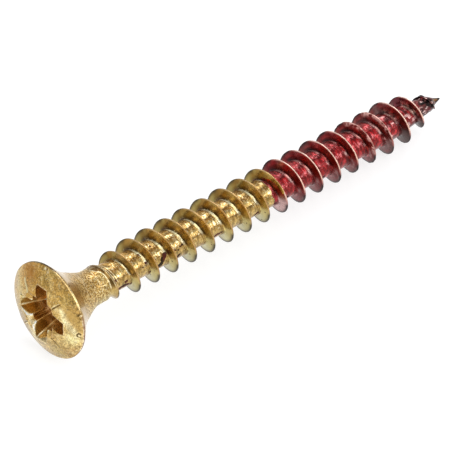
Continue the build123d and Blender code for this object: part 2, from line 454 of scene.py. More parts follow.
def shank_marks(s, a):
    """Small changes of the core and neck radius: forming ridges, streaks and grain."""
    p = own_xyz(s, body_r(s), a)
    grain = 0.007 * noise(p, 0.22, 61) + 0.004 * noise(p, 0.11, 62)
    streak = 0.007 * noise(p * np.array([1, 1, 0.12]), 0.16, 63) * smooth(s, 5.2, 6.2)
    soft = 0.010 * noise(p, 0.9, 64)
    # fine rings where the neck gives way to the thread
    lane = smooth(s, 4.05, 4.25) * (1 - smooth(s, 5.75, 6.2))
    wind = s - PITCH * a / 360.0
    rings = 0.011 * np.sin(2 * np.pi * (s - 0.35 * a / 360.0) / 0.17 + 1.3 * noise(p, 0.8, 65)) * lane
    chipped = smooth(s, 36.15, 36.45) * (1 - smooth(s, 37.95, 38.15))
    soft = soft + 0.30 * bump(s, 37.18, 0.21) * np.exp(-(turn_gap(a, -4.0) / 44.0) ** 2)
    soft = soft + chipped * (0.055 * noise(p, 0.40, 67) + 0.035 * noise(p, 0.20, 68))
    step = 0.020 * (bump(s, 4.03, 0.05) - bump(s, 4.15, 0.06)) * (0.6 + 0.4 * noise(p, 0.6, 66))
    return grain + streak + soft + rings + step


prev_a = HEAD_A
first = True
for s in (0.04, 0.12, 0.22, 0.34, 0.46, 0.58, 0.70, 0.82, 0.94, 1.05, 1.17, 1.29, 1.41, 1.53, 1.65, 1.77, 1.89, 2.01, 2.13,
          2.25, 2.37, 2.49, 2.61, 2.73, 2.85, 2.97, 3.09, 3.21, 3.33, 3.45, 3.57, 3.68):
    ss = np.full(NS, s)
    ids = screw.ring(ss, body_r(ss) + shank_marks(ss, COLS), COLS, deep=0.0, edge=0.0)
    if first:
        screw.zipper(prev, HEAD_A, ids, COLS)
        first = False
    else:
        screw.quads.append(np.stack([prev, ids, np.roll(ids, -1), np.roll(prev, -1)], -1))
    prev = ids

# ---------------------------------------------------------------------------
# thread
# ---------------------------------------------------------------------------
CREST = np.array([
    (-1.33, 1.36), (-1.25, 1.39), (-1.0, 1.474), (-0.5, 1.63), (0, 1.79), (0.4, 1.93), (0.7, 1.98), (0.95, 2.0),
    (9.0, 2.0), (9.6, 1.985), (10.0, 1.945), (10.5, 1.972), (11.0, 1.935), (11.5, 1.97), (12.0, 1.93), (12.5, 1.935),
    (13.0, 1.885), (13.5, 1.918), (14.0, 1.875), (14.35, 1.955), (14.5, 1.985), (14.64, 1.995), (14.78, 1.985), (15.0, 1.94),
    (15.25, 1.915), (15.5, 1.875), (16.0, 1.65), (16.5, 1.37), (17.0, 0.86), (17.25, 0.74), (17.5, 0.60), (17.7, 0.40),
    (18.0, 0.0), (20.0, 0.0),
])
TAN_HEAD, TAN_POINT = math.tan(math.radians(12)), math.tan(math.radians(18))
HALF = 0.040
FULL_H = 0.81


def crest_r(h, a):
    """Crest radius at turns h, with the chips and scallops of its worn edge."""
    c = np.interp(h, CREST[:, 0], CREST[:, 1])
    p = own_xyz(CREST_0 + PITCH * h, c, a)
    chip = 0.007 * noise(p, 0.8, 71) + 0.005 * noise(p, 0.3, 72)
    worn = smooth(h, 11.6, 12.6) * (1 - smooth(h, 14.15, 14.4)) + 0.5 * smooth(h, 14.9, 15.2)
    chip = chip + worn * (0.022 * noise(p, 0.30, 73) + 0.014 * noise(p, 0.16, 74))
    rest = np.exp(-((h - 14.642) / 0.06) ** 2)
    chip = chip * (1 - rest)
    return np.minimum(c + chip * smooth(h, -0.6, 0.4), 2.004)


# places of one pitch's stations, from crest to crest, as (kind, value)
STATIONS = ([("c", v) for v in (-0.045, -0.018, 0.018, 0.045)]
            + [("p", v) for v in (0.25, 0.50, 0.76)]
            + [("pf", v) for v in (0.0, 0.5, 1.0)]
            + [("m", v) for v in (0.07, 0.17, 0.28, 0.39, 0.5, 0.61, 0.72, 0.83, 0.93)]
            + [("hf", v) for v in (1.0, 0.67, 0.33, 0.0)]
            + [("h", v) for v in (0.80, 0.60, 0.40, 0.22, 0.08)])
FILLET = 0.10
M = len(STATIONS)


def ridge_geometry(h, a):
    """Crest place and radius, body radius and height of the ridge at turns h, A = a."""
    sc = CREST_0 + PITCH * h
    rc = crest_r(h, a)
    b = body_r(sc)
    hh = np.maximum(rc - b, 0.0)
    return sc, rc, b, hh


def thread_r(s, a, n):
    """Radius at s, between crests n and n+1 at A = a, with the root fillets."""
    h0 = n + a / 360.0
    base = body_r(s) + shank_marks(s, a)
    out = base.copy()
    for k, tan_, sign in ((0, TAN_POINT, 1.0), (1, TAN_HEAD, -1.0)):
        h = h0 + k
        sc, rc, b, hh = ridge_geometry(h, a)
        d = sign * (s - sc)                     # distance from the crest into the gap
        ang = math.atan(tan_)
        fillet = np.minimum(FILLET, 0.45 * hh)
        t = fillet / math.tan((math.pi / 2 + ang) / 2)
        foot = HALF + (rc - base) * tan_
        # the core is rolled a little hollow: it climbs towards the ridges
        climb, reach = (0.060, 0.62) if k else (0.020, 0.35)
        lift = climb * np.clip(1 - (d - foot) / reach, 0, 1) ** 2 * np.clip(hh / 0.8, 0, 1)
        up = rc - np.maximum(d - HALF, 0) / tan_ - 0.012 * np.clip(np.abs(d) / HALF, 0, 1) ** 2 * (d < HALF)
        x1 = foot - t * math.sin(ang)
        x2 = np.maximum(foot + t, x1 + 1e-6)
        arc = base + fillet - np.sqrt(np.maximum(fillet**2 - (np.minimum(x2, np.maximum(d, x1)) - x2) ** 2, 0))
        r = np.where(d <= x1, up, np.where(d < x2, arc + lift * smooth(d, x1, x2), base + lift))
        r = np.where(hh > 0.004, r, base)
        if k:
            fill = smooth(h, -1.07, -0.95) * (1 - smooth(h, -0.46, -0.34))
            wide = np.interp(h, [-1.0, -0.86, -0.75, -0.6, -0.45, -0.3], [0.50, 0.58, 0.60, 0.55, 0.38, 0.15])
            slope = np.clip(1 - (d - HALF) / wide, 0, 1)
            r = np.maximum(r, base + (rc - base) * fill * slope)
        out = np.maximum(out, r)
    return out


def station_places(n, a):
    """s of the M stations from crest n to crest n+1 at A = a."""
    h0 = n + a / 360.0
    sc0, rc0, b0, hh0 = ridge_geometry(h0, a)
    sc1, rc1, b1, hh1 = ridge_geometry(h0 + 1, a)
    q0 = np.clip(hh0, 0.30, 0.85)
    q1 = np.clip(hh1, 0.30, 0.85)
    f0, f1 = np.minimum(FILLET, 0.45 * q0), np.minimum(FILLET, 0.45 * q1)
    a0, a1 = math.atan(TAN_POINT), math.atan(TAN_HEAD)
    t0, t1 = f0 / math.tan((math.pi / 2 + a0) / 2), f1 / math.tan((math.pi / 2 + a1) / 2)
    foot0, foot1 = HALF + q0 * TAN_POINT, HALF + q1 * TAN_HEAD
    lo0, hi0 = foot0 - t0 * math.sin(a0), foot0 + t0
    lo1, hi1 = foot1 - t1 * math.sin(a1), foot1 + t1
    out = []
    for kind, v in STATIONS:
        if kind == "c":
            out.append(sc0 + v)
        elif kind == "p":
            out.append(sc0 + 0.045 + (lo0 - 0.045) * v)
        elif kind == "pf":
            out.append(sc0 + lo0 + (hi0 - lo0) * v)
        elif kind == "m":
            x, y = sc0 + hi0, sc1 - hi1
            out.append(x + (y - x) * v)
        elif kind == "hf":
            out.append(sc1 - (lo1 + (hi1 - lo1) * v))
        else:
            out.append(sc1 - (0.045 + (lo1 - 0.045) * v))
    return np.stack(out, 0)


S_IN, S_OUT = 3.68, 38.46
grid_s, grid_r, grid_n, grid_m = [], [], [], []
for n in range(-3, 19):
    places = station_places(float(n), COLS)
    for m in range(M):
        grid_s.append(places[m])
        grid_r.append(thread_r(places[m], COLS, float(n)))
        grid_n.append(n)
        grid_m.append(m)
grid_s, grid_r = np.array(grid_s), np.array(grid_r)          # (stations, columns)
K = grid_s.shape[0]
live = (grid_s > S_IN + 0.03) & (grid_s < S_OUT - 0.02)
gid = np.full((K, NS), -1)
crest_of = np.zeros((K, NS))
climb_of = np.zeros((K, NS))
brink_of = np.zeros((K, NS))
cleft_of = np.zeros((K, NS))
root_of = np.zeros((K, NS))
flank_of = np.zeros((K, NS))
for k in range(K):
    kind, v = STATIONS[grid_m[k]]
    if kind == "c":
        c = 1.0
    elif kind in ("p", "h"):
        c = 0.35 if v < 0.1 else 0.0
    else:
        c = 0.0
    crest_of[k] = c
    climb_of[k] = {("m", 0.93): 0.75, ("hf", 1.0): 1.0, ("hf", 0.67): 0.5}.get((kind, v), 0.0)
    cleft_of[k] = {("hf", 0.67): 0.15, ("hf", 0.33): 1.0, ("hf", 0.0): 1.0, ("h", 0.80): 0.55}.get((kind, v), 0.0)
    brink_of[k] = 1.0 if kind == "c" else {("h", 0.08): 1.0, ("h", 0.22): 0.45, ("p", 0.25): 0.5}.get((kind, v), 0.0)
    root_of[k] = {"c": 0, "p": v, "pf": 1.0, "m": 1 - 4 * v * (1 - v), "hf": 1.0, "h": v}[kind]
    flank_of[k] = {"c": 0, "p": 1, "pf": 1 - 0.8 * v, "m": 0, "hf": -(1 - 0.8 * v), "h": -1}[kind]
ks, js = np.nonzero(live)
gid[ks, js] = screw.count + np.arange(len(ks))
turn_no = np.array(grid_n)[ks] + COLS[js] / 360.0
# the nearer crest: after the middle of the gap the next one counts
nearer = np.where(np.array([STATIONS[m][0] in ("hf", "h") for m in grid_m])[ks], turn_no + 1, turn_no)
screw.ring(grid_s[ks, js], grid_r[ks, js], COLS[js], deep=0.0, edge=0.0,
           brink=brink_of[ks, js], climb=climb_of[ks, js], cleft=cleft_of[ks, js], crest=crest_of[ks, js], root=root_of[ks, js], flank=flank_of[ks, js], turn=nearer)

# matched quads between neighbouring columns; column NS is column 0 one turn on
first_live = np.array([np.nonzero(live[:, j])[0][0] for j in range(NS)])
last_live = np.array([np.nonzero(live[:, j])[0][-1] for j in range(NS)])
end_ids = screw.ring(np.full(NS, S_OUT), body_r(np.full(NS, S_OUT)), COLS, deep=0.0, edge=0.0, turn=18.0)
for j in range(NS):
    j2 = (j + 1) % NS
    shift = M if j == NS - 1 else 0          # station k in this column meets k + shift in the next
    a0, a1 = first_live[j], last_live[j]
    b0, b1 = first_live[j2] - shift, last_live[j2] - shift
    lo, hi = max(a0, b0), min(a1, b1)
    kk = np.arange(lo, hi)
    screw.quads.append(np.stack([gid[kk, j], gid[kk + 1, j], gid[kk + 1 + shift, j2], gid[kk + shift, j2]], -1))
    # head end
    t = []
    if b0 < a0:
        t.append((prev[j], gid[a0, j], prev[j2]))
        chain = [prev[j2]] + [gid[k + shift, j2] for k in range(b0, a0 + 1)]
        t += [(gid[a0, j], chain[i + 1], chain[i]) for i in range(len(chain) - 1)]
    else:
        chain = [prev[j]] + [gid[k, j] for k in range(a0, b0 + 1)]
        t += [(chain[i], chain[i + 1], prev[j2]) for i in range(len(chain) - 1)]
        t.append((chain[-1], gid[b0 + shift, j2], prev[j2]))
    # point end
    if b1 > a1:
        chain = [gid[k + shift, j2] for k in range(a1, b1 + 1)] + [end_ids[j2]]
        t += [(gid[a1, j], chain[i + 1], chain[i]) for i in range(len(chain) - 1)]
        t.append((gid[a1, j], end_ids[j], end_ids[j2]))
    else:
        chain = [gid[k, j] for k in range(b1, a1 + 1)] + [end_ids[j]]
        t += [(chain[i], chain[i + 1], gid[b1 + shift, j2]) for i in range(len(chain) - 1)]
        t.append((end_ids[j], end_ids[j2], gid[b1 + shift, j2]))
    screw.tris.append(np.array(t))
prev = end_ids
for s in (38.52, 38.58, 38.63, 38.67):
    ids = screw.ring(np.full(NS, s), body_r(np.full(NS, s)) + 0.004, COLS, deep=0.0, edge=0.0, turn=18.0)
    screw.quads.append(np.stack([prev, ids, np.roll(ids, -1), np.roll(prev, -1)], -1))
    prev = ids
tip = screw.ring(38.70, 0.0, 0.0, deep=0.0, edge=0.0, turn=18.0)
screw.fan(tip[0], prev, flip=True)

# ---------------------------------------------------------------------------
# to the row frame
# ---------------------------------------------------------------------------
S = np.concatenate(screw.s)
R = np.concatenate(screw.r)
A = np.concatenate(screw.a)


def tag(name, default=0.0):
    out = []
    for n, row in screw.tags:
        out.append(row.get(name, np.full(n, default)))
    return np.concatenate(out)


own = own_xyz(S, R, A)
# the head is set a little askew on its neck: it leans about the rim's centre
LEAN_0, LEAN_90 = math.tan(math.radians(-0.8)), math.tan(math.radians(-3.3))   # along E0 and E90
lean_axis = np.array([-LEAN_90, LEAN_0, 0.0])      # axis cross lean
lean_angle = math.atan(np.linalg.norm(lean_axis))
lean_axis /= np.linalg.norm(lean_axis)


def rotate(p, axis, angle):
    c, s_ = np.cos(angle)[:, None], np.sin(angle)[:, None]
    dot = (p @ axis)[:, None]
    return p * c + np.cross(axis, p) * s_ + axis * dot * (1 - c)


lean = lean_angle * (1 - smooth(S, 1.0, 3.7))
own = rotate(own, lean_axis, lean)
own[:, 0] -= 0.055 * smooth(S, 37.7, 38.7)
row = to_row(own)
print("lowest z mm", row[:, 2].min(), "at s", S[row[:, 2].argmin()])
row[:, 2] = np.maximum(row[:, 2], 0.0)

quads = np.concatenate(screw.quads)
tris = np.concatenate(screw.tris)
print("vertices", len(S), "triangles", 2 * len(quads) + len(tris))

me = bpy.data.meshes.new("screw_body")
faces = [tuple(q) for q in quads.tolist()] + [tuple(t) for t in tris.tolist()]
me.from_pydata((row / 1000.0).tolist(), [], faces)
me.validate()
me.update()
body = bpy.data.objects.new("screw_body", me)
bpy.context.scene.collection.objects.link(body)


def put(name, values):
    at = me.attributes.new(name, "FLOAT", "POINT")
    at.data.foreach_set("value", np.asarray(values, np.float32))


put("sax", S)
put("cosa", R * np.cos(np.radians(A)))
put("sina", R * np.sin(np.radians(A)))

# every face looks outward
bm = bmesh.new()
bm.from_mesh(me)
bmesh.ops.recalc_face_normals(bm, faces=bm.faces[:])
if bm.calc_volume(signed=True) < 0:
    bmesh.ops.reverse_faces(bm, faces=bm.faces[:])
bad = [e for e in bm.edges if not e.is_manifold]
print("open edges", len(bad), "volume mm3", bm.calc_volume(signed=True) * 1e9)
bm.to_mesh(me)
bm.free()
me.shade_smooth()

# ---------------------------------------------------------------------------
# finish: where the passivation, the lacquer, the wear and the dirt are, and the painted
# highlights, reflections and shade. Colours are linear, and stand for what the metal reflects
# ---------------------------------------------------------------------------
P = own_xyz(S, R, A)
GAP0 = np.abs(turn_gap(A, 0.0))
A180 = np.mod(A + 90.0, 360.0) - 90.0                  # -90 to 270
on_head = np.maximum(1 - smooth(S, -0.03, 0.03), tag("hollow"))
deep = tag("deep")
hollow = tag("hollow")
lit = tag("lit")
edge = tag("edge")
crest = tag("crest")
root = tag("root")
flank = tag("flank")
turn = tag("turn", -5.0)
n_big, n_mid, n_small = noise(P, 1.6, 101), noise(P, 0.6, 102), noise(P, 0.25, 103)
n_hue, n_hue2 = noise(P, 1.1, 104), noise(P, 0.45, 105)


def over(base, colour, w):
    return base + (np.array(colour) - base) * np.clip(w, 0, 1)[:, None]


def ramp(x, table):
    table = np.array(table)
    return np.stack([np.interp(x, table[:, 0], table[:, i]) for i in (1, 2, 3)], -1)


def spot_xy(a, r, size, stretch=1.0, heading=0.0):
    """A soft patch on the head's top at A = a, r from the axis."""
    dx, dy = P[:, 0] - r * math.cos(math.radians(a)), P[:, 1] - r * math.sin(math.radians(a))
    c, s_ = math.cos(math.radians(heading)), math.sin(math.radians(heading))
    q = ((dx * c + dy * s_) / (size * stretch)) ** 2 + ((-dx * s_ + dy * c) / size) ** 2
    return np.exp(-q)


# the raised head, patches of tone and of painted reflection, highlight and shade: (A, r, size mm, stretch, heading,
# colour, weight)
gold = np.tile(np.array([0.545, 0.325, 0.082]), (len(S), 1))
gold = over(gold, (0.50, 0.395, 0.135), 0.5 * smooth(n_hue, 0.0, 0.7))
gold = over(gold, (0.57, 0.34, 0.11), 0.5 * smooth(-n_hue, 0.0, 0.7))
dome = gold.copy()
for pa, pr, ps, stretch, heading, colour, weight in (
    # painted reflection: the smooth top is painted brown for the dim surroundings it reflects
    (14, 3.15, 0.80, 1.35, 0, (0.31, 0.135, 0.020), 0.97),      # a smooth brown patch at the top
    (34, 2.90, 0.44, 1.2, 0, (0.38, 0.20, 0.040), 0.8),
    (50, 2.80, 0.24, 2.4, 20, (0.33, 0.20, 0.045), 0.7),        # olive streak beside a wing
    (335, 2.75, 0.70, 1.3, 0, (0.50, 0.39, 0.14), 0.8),
    (337, 3.45, 0.45, 1.6, 30, (0.56, 0.42, 0.24), 0.7),
    (300, 3.10, 0.85, 1.6, 0, (0.40, 0.29, 0.095), 0.85),
    (262, 2.60, 0.80, 1.6, 0, (0.30, 0.185, 0.050), 0.85),
    # painted shade: dark towards the left edge
    (268, 3.50, 0.58, 3.0, 0, (0.23, 0.135, 0.032), 0.94),
    (78, 3.30, 0.55, 1.6, 0, (0.58, 0.36, 0.095), 0.75),
    (68, 2.42, 0.30, 1.6, 0, (0.58, 0.41, 0.155), 0.6),
    (112, 3.20, 0.52, 1.7, 0, (0.52, 0.335, 0.105), 0.95),      # a smooth tan patch
    (122, 3.62, 0.30, 1.8, 0, (0.50, 0.33, 0.10), 0.7),
    (170, 2.80, 1.00, 1.5, 90, (0.48, 0.325, 0.110), 0.85),       # the lower half is pale
    # painted highlight: a cream patch on the lower half
    (148, 3.15, 0.72, 1.2, 90, (0.86, 0.74, 0.36), 0.85),
    (205, 2.60, 0.90, 1.2, 0, (0.63, 0.48, 0.20), 0.75),
    (197, 3.45, 0.60, 1.6, 60, (0.50, 0.38, 0.13), 0.8),
    (171, 3.62, 0.34, 2.2, 90, (0.42, 0.26, 0.10), 0.88),
    (235, 3.20, 0.80, 1.4, 0, (0.62, 0.52, 0.30), 0.7),
    (247, 2.35, 0.42, 1.3, 0, (0.92, 0.80, 0.46), 0.85),
    # painted highlights: the pale cream streaks beside the lower wing
    (105, 2.60, 0.19, 2.0, 0, (1.0, 0.90, 0.52), 0.95),         # a pale streak beside the lower wing
    (122, 2.72, 0.22, 2.2, 0, (1.0, 0.90, 0.54), 0.98),
    (133, 3.10, 0.24, 1.6, 0, (0.98, 0.88, 0.52), 0.9),
    (95, 2.15, 0.20, 1.4, 20, (0.80, 0.66, 0.34), 0.7),
):
    dome = over(dome, colour, weight * spot_xy(pa, pr, ps, stretch, heading) * (1 + 0.3 * n_small))
# clusters of darker and paler grains
cluster = noise(P, 0.33, 141)
sparse = 1 - np.clip(spot_xy(16, 3.20, 0.62, 1.35, 0) + spot_xy(112, 3.20, 0.50, 1.7, 0), 0, 1)
dome = over(dome, (0.34, 0.21, 0.055), 0.45 * sparse * smooth(cluster, 0.15, 0.75))
dome = over(dome, (0.84, 0.66, 0.30), 0.36 * sparse * smooth(-cluster, 0.20, 0.80))
# smooth places, where the speckle is weak
calm = np.clip(spot_xy(16, 3.20, 0.62, 1.35, 0) + spot_xy(112, 3.20, 0.50, 1.7, 0) + 0.7 * spot_xy(335, 2.75, 0.55, 1.3, 0), 0, 1)
recess = ramp(deep, [(0.0, 0.68, 0.52, 0.24), (0.3, 0.62, 0.455, 0.20), (0.5, 0.61, 0.435, 0.185), (0.7, 0.65, 0.435, 0.175), (1.0, 0.67, 0.435, 0.17)])
recess = over(recess, (0.76, 0.57, 0.26), 0.45 * smooth(noise(P * np.array([1, 1, 0.35]), 0.30, 106), 0.1, 0.7))
recess = over(recess, (0.46, 0.29, 0.11), 0.45 * smooth(-noise(P * np.array([1, 1, 0.35]), 0.30, 106), 0.1, 0.7))
# painted highlight: pale gold on the worn wing ends and the tops of the end walls; painted shade: darker low on the
# recess wall near A = 166
recess = over(recess, (0.74, 0.58, 0.25), 0.85 * lit * (0.85 + 0.5 * n_small))
recess = over(recess, (0.34, 0.24, 0.085), 0.75 * bump(A180, 166, 17) * smooth(R, 1.2, 1.6) * (1 - lit))
dome = dome + (recess - dome) * np.maximum(smooth(deep, 0.02, 0.25), 0.85 * hollow * lit)[:, None]
# burrs down the wings' corners, paler towards the mouth: worn bright, with painted highlights on them, strongest on the
# left
inner = edge * on_head * (R < 3.0)
# painted shade: darker on the lower left wing's worn end wall
dome = over(dome, (0.46, 0.36, 0.19), 0.88 * hollow * smooth(tag("side"), 11.9, 12.1) * (1 - smooth(tag("side"), 12.95, 13.05)))
dome = over(dome, (0.93, 0.72, 0.46), 0.9 * inner)
dome = over(dome, (1.0, 0.89, 0.58), inner * smooth(-S, 0.1, 0.75) * smooth(np.abs(turn_gap(A, 270.0)), 95, 70))
# painted highlights: white glints on the left notch's lips and corners, and on the burr's bead
dome = over(dome, (1.0, 0.90, 0.60), np.clip(1.3 * tag("glow"), 0, 1))
dome = over(dome, (1.0, 1.0, 0.92), smooth(tag("glow"), 0.60, 0.90))
dome = over(dome, (1.0, 1.0, 0.95), np.clip(1.3 * tag("bead"), 0, 1))
dome = over(dome, (0.03, 0.015, 0.008), 0.9 * np.clip(tag("pit"), 0, 1))

# underside of the head and the neck, by A: painted reflection, pale above and below where they face the pale room, and
# painted shade, brown at the front
under = ramp(A180, [(-90, 0.60, 0.50, 0.32), (-40, 0.80, 0.72, 0.62), (20, 0.92, 0.80, 0.70), (48, 0.66, 0.50, 0.28), (62, 0.49, 0.31, 0.085), (115, 0.49, 0.31, 0.085),
                    (135, 0.66, 0.52, 0.34), (155, 0.82, 0.72, 0.62), (230, 0.62, 0.52, 0.34), (270, 0.60, 0.50, 0.32)])
neck = ramp(A180, [(-90, 0.55, 0.44, 0.22), (0, 0.52, 0.46, 0.24), (25, 0.52, 0.34, 0.125), (60, 0.51, 0.30, 0.080), (120, 0.50, 0.315, 0.088),
                   (150, 0.54, 0.41, 0.165), (180, 0.54, 0.45, 0.20), (270, 0.55, 0.44, 0.22)])
# the core by A: painted highlights and painted shade in bands where the lamps' reflections fall and miss, paler below
core = ramp(A180, [(-90, 0.50, 0.38, 0.15), (0, 0.57, 0.34, 0.085), (36, 0.57, 0.32, 0.075), (54, 0.42, 0.27, 0.095), (62, 0.36, 0.235, 0.078), (71, 0.28, 0.145, 0.036), (80, 0.37, 0.195, 0.045),
                   (88, 0.50, 0.34, 0.11), (99, 0.42, 0.285, 0.097), (109, 0.30, 0.175, 0.048), (120, 0.40, 0.25, 0.075), (140, 0.46, 0.32, 0.115), (165, 0.37, 0.235, 0.085),
                   (180, 0.42, 0.31, 0.15), (270, 0.50, 0.38, 0.15)])
# the head-facing flank by A: painted shade, dark at the top; a painted highlight at the front; painted reflection, pale
# below
head_flank = ramp(A180, [(-90, 0.38, 0.28, 0.10), (-40, 0.36, 0.23, 0.055), (-18, 0.31, 0.235, 0.072), (2, 0.17, 0.098, 0.019), (22, 0.24, 0.13, 0.028),
                         (40, 0.46, 0.30, 0.09), (58, 0.97, 0.90, 0.60), (78, 0.84, 0.70, 0.36), (100, 0.64, 0.46, 0.13), (120, 0.52, 0.33, 0.098),
                         (136, 0.49, 0.38, 0.13), (163, 0.48, 0.41, 0.16), (200, 0.45, 0.42, 0.22), (270, 0.38, 0.28, 0.10)])
# the point-facing flank: painted reflection, paler below
point_flank = ramp(A180, [(-90, 0.48, 0.36, 0.14), (0, 0.50, 0.35, 0.13), (120, 0.50, 0.34, 0.12), (180, 0.55, 0.47, 0.24), (270, 0.48, 0.36, 0.14)])
# crests by A: a painted highlight at the front, and painted shade, nearly black, where they turn away above and below
crest_col = ramp(A180, [(-90, 0.05, 0.038, 0.02), (10, 0.05, 0.038, 0.02), (20, 0.32, 0.20, 0.09), (34, 0.60, 0.42, 0.21), (60, 0.62, 0.39, 0.16), (90, 0.50, 0.28, 0.09),
                        (125, 0.52, 0.32, 0.13), (138, 0.38, 0.25, 0.12), (148, 0.06, 0.045, 0.025), (235, 0.05, 0.04, 0.022), (270, 0.05, 0.038, 0.02)])

t_head = np.clip(-flank, 0, 1) * smooth(turn, -0.5, -0.25)
t_point = np.clip(flank, 0, 1)
shank = core + (neck - core) * (1 - smooth(S, 4.6, 5.3))[:, None]
shank = shank + (under - shank) * (1 - smooth(S, 1.1, 2.6))[:, None]
# the steps between neck and thread are a shade olive
shank = over(shank, (0.44, 0.34, 0.12), 0.5 * bump(S, 4.55, 0.35) * (1 - smooth(GAP0, 60, 150)))
shank = over(shank, (0.60, 0.47, 0.20), 0.7 * bump(S, 4.22, 0.16) * smooth(A180, 60, 80) * (1 - smooth(A180, 108, 125)))
tint = shank + (head_flank - shank) * smooth(t_head, 0.15, 0.8)[:, None]
tint = tint + (point_flank - tint) * smooth(t_point, 0.15, 0.8)[:, None]
tint = tint + (crest_col - tint) * (smooth(crest, 0.30, 0.95) * smooth(turn, -1.25, -1.0))[:, None]
# olive, brown and golden clouds on the flanks; the golden ones, at the front only, are painted highlight
tint = over(tint, (0.36, 0.30, 0.10), 0.45 * t_head * smooth(n_hue2, 0.1, 0.8) * smooth(A180, -60, 0) * (1 - smooth(A180, 60, 110)))
tint = over(tint, (0.40, 0.22, 0.05), 0.55 * t_head * smooth(-n_hue2, 0.2, 0.8) * smooth(A180, -10, 20) * (1 - smooth(A180, 45, 60)))
blot = noise(P, 0.42, 142)
arcs = noise(np.stack([2.6 * R, 0.55 * R * np.cos(np.radians(A)) + 0.1 * S, 0.55 * R * np.sin(np.radians(A))], -1), 0.30, 143)
spared = 1 - 0.75 * np.exp(-((A180 - 64) / 20) ** 2)
tint = over(tint, (0.24, 0.15, 0.035), 0.50 * t_head * smooth(arcs, 0.15, 0.6) * (1 - 0.5 * smooth(A180, 110, 135)) * spared)
tint = over(tint, (0.30, 0.19, 0.045), 0.45 * t_head * smooth(blot, 0.2, 0.7) * (1 - 0.6 * smooth(A180, 110, 135)) * spared)
tint = over(tint, (0.98, 0.80, 0.36), 0.40 * t_head * smooth(-blot, 0.2, 0.7) * smooth(A180, 35, 55) * (1 - smooth(A180, 108, 125)))
tint = tint + (dome - tint) * on_head[:, None]
# a painted catch of light where the core climbs to the next ridge, and a painted shadow line in the cleft behind it
climbing = np.clip(tag("climb"), 0, 1) * smooth(turn, 0.02, 0.15)
front = smooth(A180, 5, 35) * (1 - smooth(A180, 104, 122))
behind = np.clip(tag("cleft"), 0, 1) * smooth(A180, -25, 5) * (1 - smooth(A180, 114, 126)) * smooth(turn, 0.02, 0.15)
tint = over(tint, (1.0, 0.95, 0.68), 0.98 * climbing * front)
tint = over(tint, (0.07, 0.04, 0.012), 0.92 * behind)
# painted shade: thin dark outlines on the ridges where they turn away, above and below
brink = np.clip(tag("brink"), 0, 1) * smooth(turn, -1.25, -1.0)
away = np.clip(1 - smooth(A180, 2, 14) + smooth(A180, 140, 150), 0, 1)
tint = over(tint, (0.05, 0.038, 0.016), 0.92 * brink * away)
# steps and fine rings between the neck and the thread
# the first ridge grows out of a gently rising side, painted brown as painted shade
foot_at = np.interp(A180, [-90, 11, 38, 50, 58, 65, 76, 92, 125, 180, 270], [3.80, 3.95, 4.04, 4.15, 4.32, 4.45, 4.54, 4.59, 4.66, 4.70, 4.70])
ridge_at = 4.483 + 0.005 * A180
wedge = smooth(S, foot_at + 0.00, foot_at + 0.09) * (1 - smooth(S, ridge_at - 0.09, ridge_at - 0.02)) * smooth(A180, -70, -30) * (1 - smooth(A180, 54, 78))
tint = over(tint, (0.15, 0.070, 0.014), 0.95 * wedge)
# painted highlights: pale lines across the front of the neck
for ls, lw, la, lb in ((2.35, 0.04, 55, 90), (2.62, 0.04, 45, 70), (3.30, 0.04, 60, 100)):
    tint = over(tint, (0.92, 0.76, 0.46), 0.5 * bump(S, ls, lw) * smooth(A180, la - 10, la) * (1 - smooth(A180, lb, lb + 12)))
# underside: painted reflection as pale streaks above and below, painted shade dark just behind the rim, and a darker
# olive band further along
sides = np.clip(1 - smooth(A180, 38, 54) + smooth(A180, 128, 142), 0, 1) * (S > 0.02) * (0.35 + 0.65 * smooth(A180, -70, -35) * (1 - smooth(A180, 215, 250)))
tint = over(tint, (0.98, 0.90, 0.84), 0.9 * sides * (bump(S, 0.52, 0.16) + bump(S, 1.05, 0.14) + 0.6 * bump(S, 1.42, 0.08)))
tint = over(tint, (0.30, 0.23, 0.13), 0.75 * (bump(S, 0.20, 0.09) + 0.5 * bump(S, 0.80, 0.07)) * sides)
tint = over(tint, (0.42, 0.39, 0.20), 0.8 * sides * smooth(S, 1.4, 1.9) * (1 - smooth(S, 3.2, 4.2)) * np.clip(1 - smooth(A180, 5, 25) + smooth(A180, 155, 168), 0, 1))
# the rim: painted highlights on its corner and land at the front, and painted shade where they turn away and on the
# rim's top and far side
corner = np.exp(-((S + 0.160) / 0.040) ** 2) * smooth(R, 3.80, 3.85)
land = (1 - smooth(np.abs(S + 0.075), 0.07, 0.10)) * smooth(R, 3.80, 3.85)
landed = ramp(A180, [(-90, 0.50, 0.42, 0.26), (-45, 0.45, 0.38, 0.22), (-8, 0.20, 0.15, 0.06), (30, 0.14, 0.10, 0.04), (44, 0.07, 0.04, 0.02), (66, 0.14, 0.09, 0.04),
                     (76, 0.62, 0.42, 0.18), (88, 0.90, 0.68, 0.34), (101, 0.90, 0.68, 0.34), (110, 0.30, 0.20, 0.09), (122, 0.30, 0.16, 0.09), (150, 0.22, 0.11, 0.07),
                     (180, 0.26, 0.16, 0.10), (205, 0.50, 0.40, 0.24), (270, 0.50, 0.42, 0.26)])
tint = tint + (landed - tint) * np.clip(land, 0, 1)[:, None]
tint = over(tint, (0.90, 0.62, 0.26), 0.95 * corner * smooth(A180, 46, 56) * (1 - smooth(A180, 104, 112)) * (0.85 + 0.4 * n_mid))
tint = over(tint, (0.95, 0.80, 0.52), 0.8 * corner * smooth(A180, 116, 122) * (1 - smooth(A180, 158, 168)) * smooth(n_small, -0.5, 0.1))
tint = over(tint, (0.12, 0.09, 0.035), 0.8 * corner * smooth(A180, -12, 4) * (1 - smooth(A180, 30, 44)))
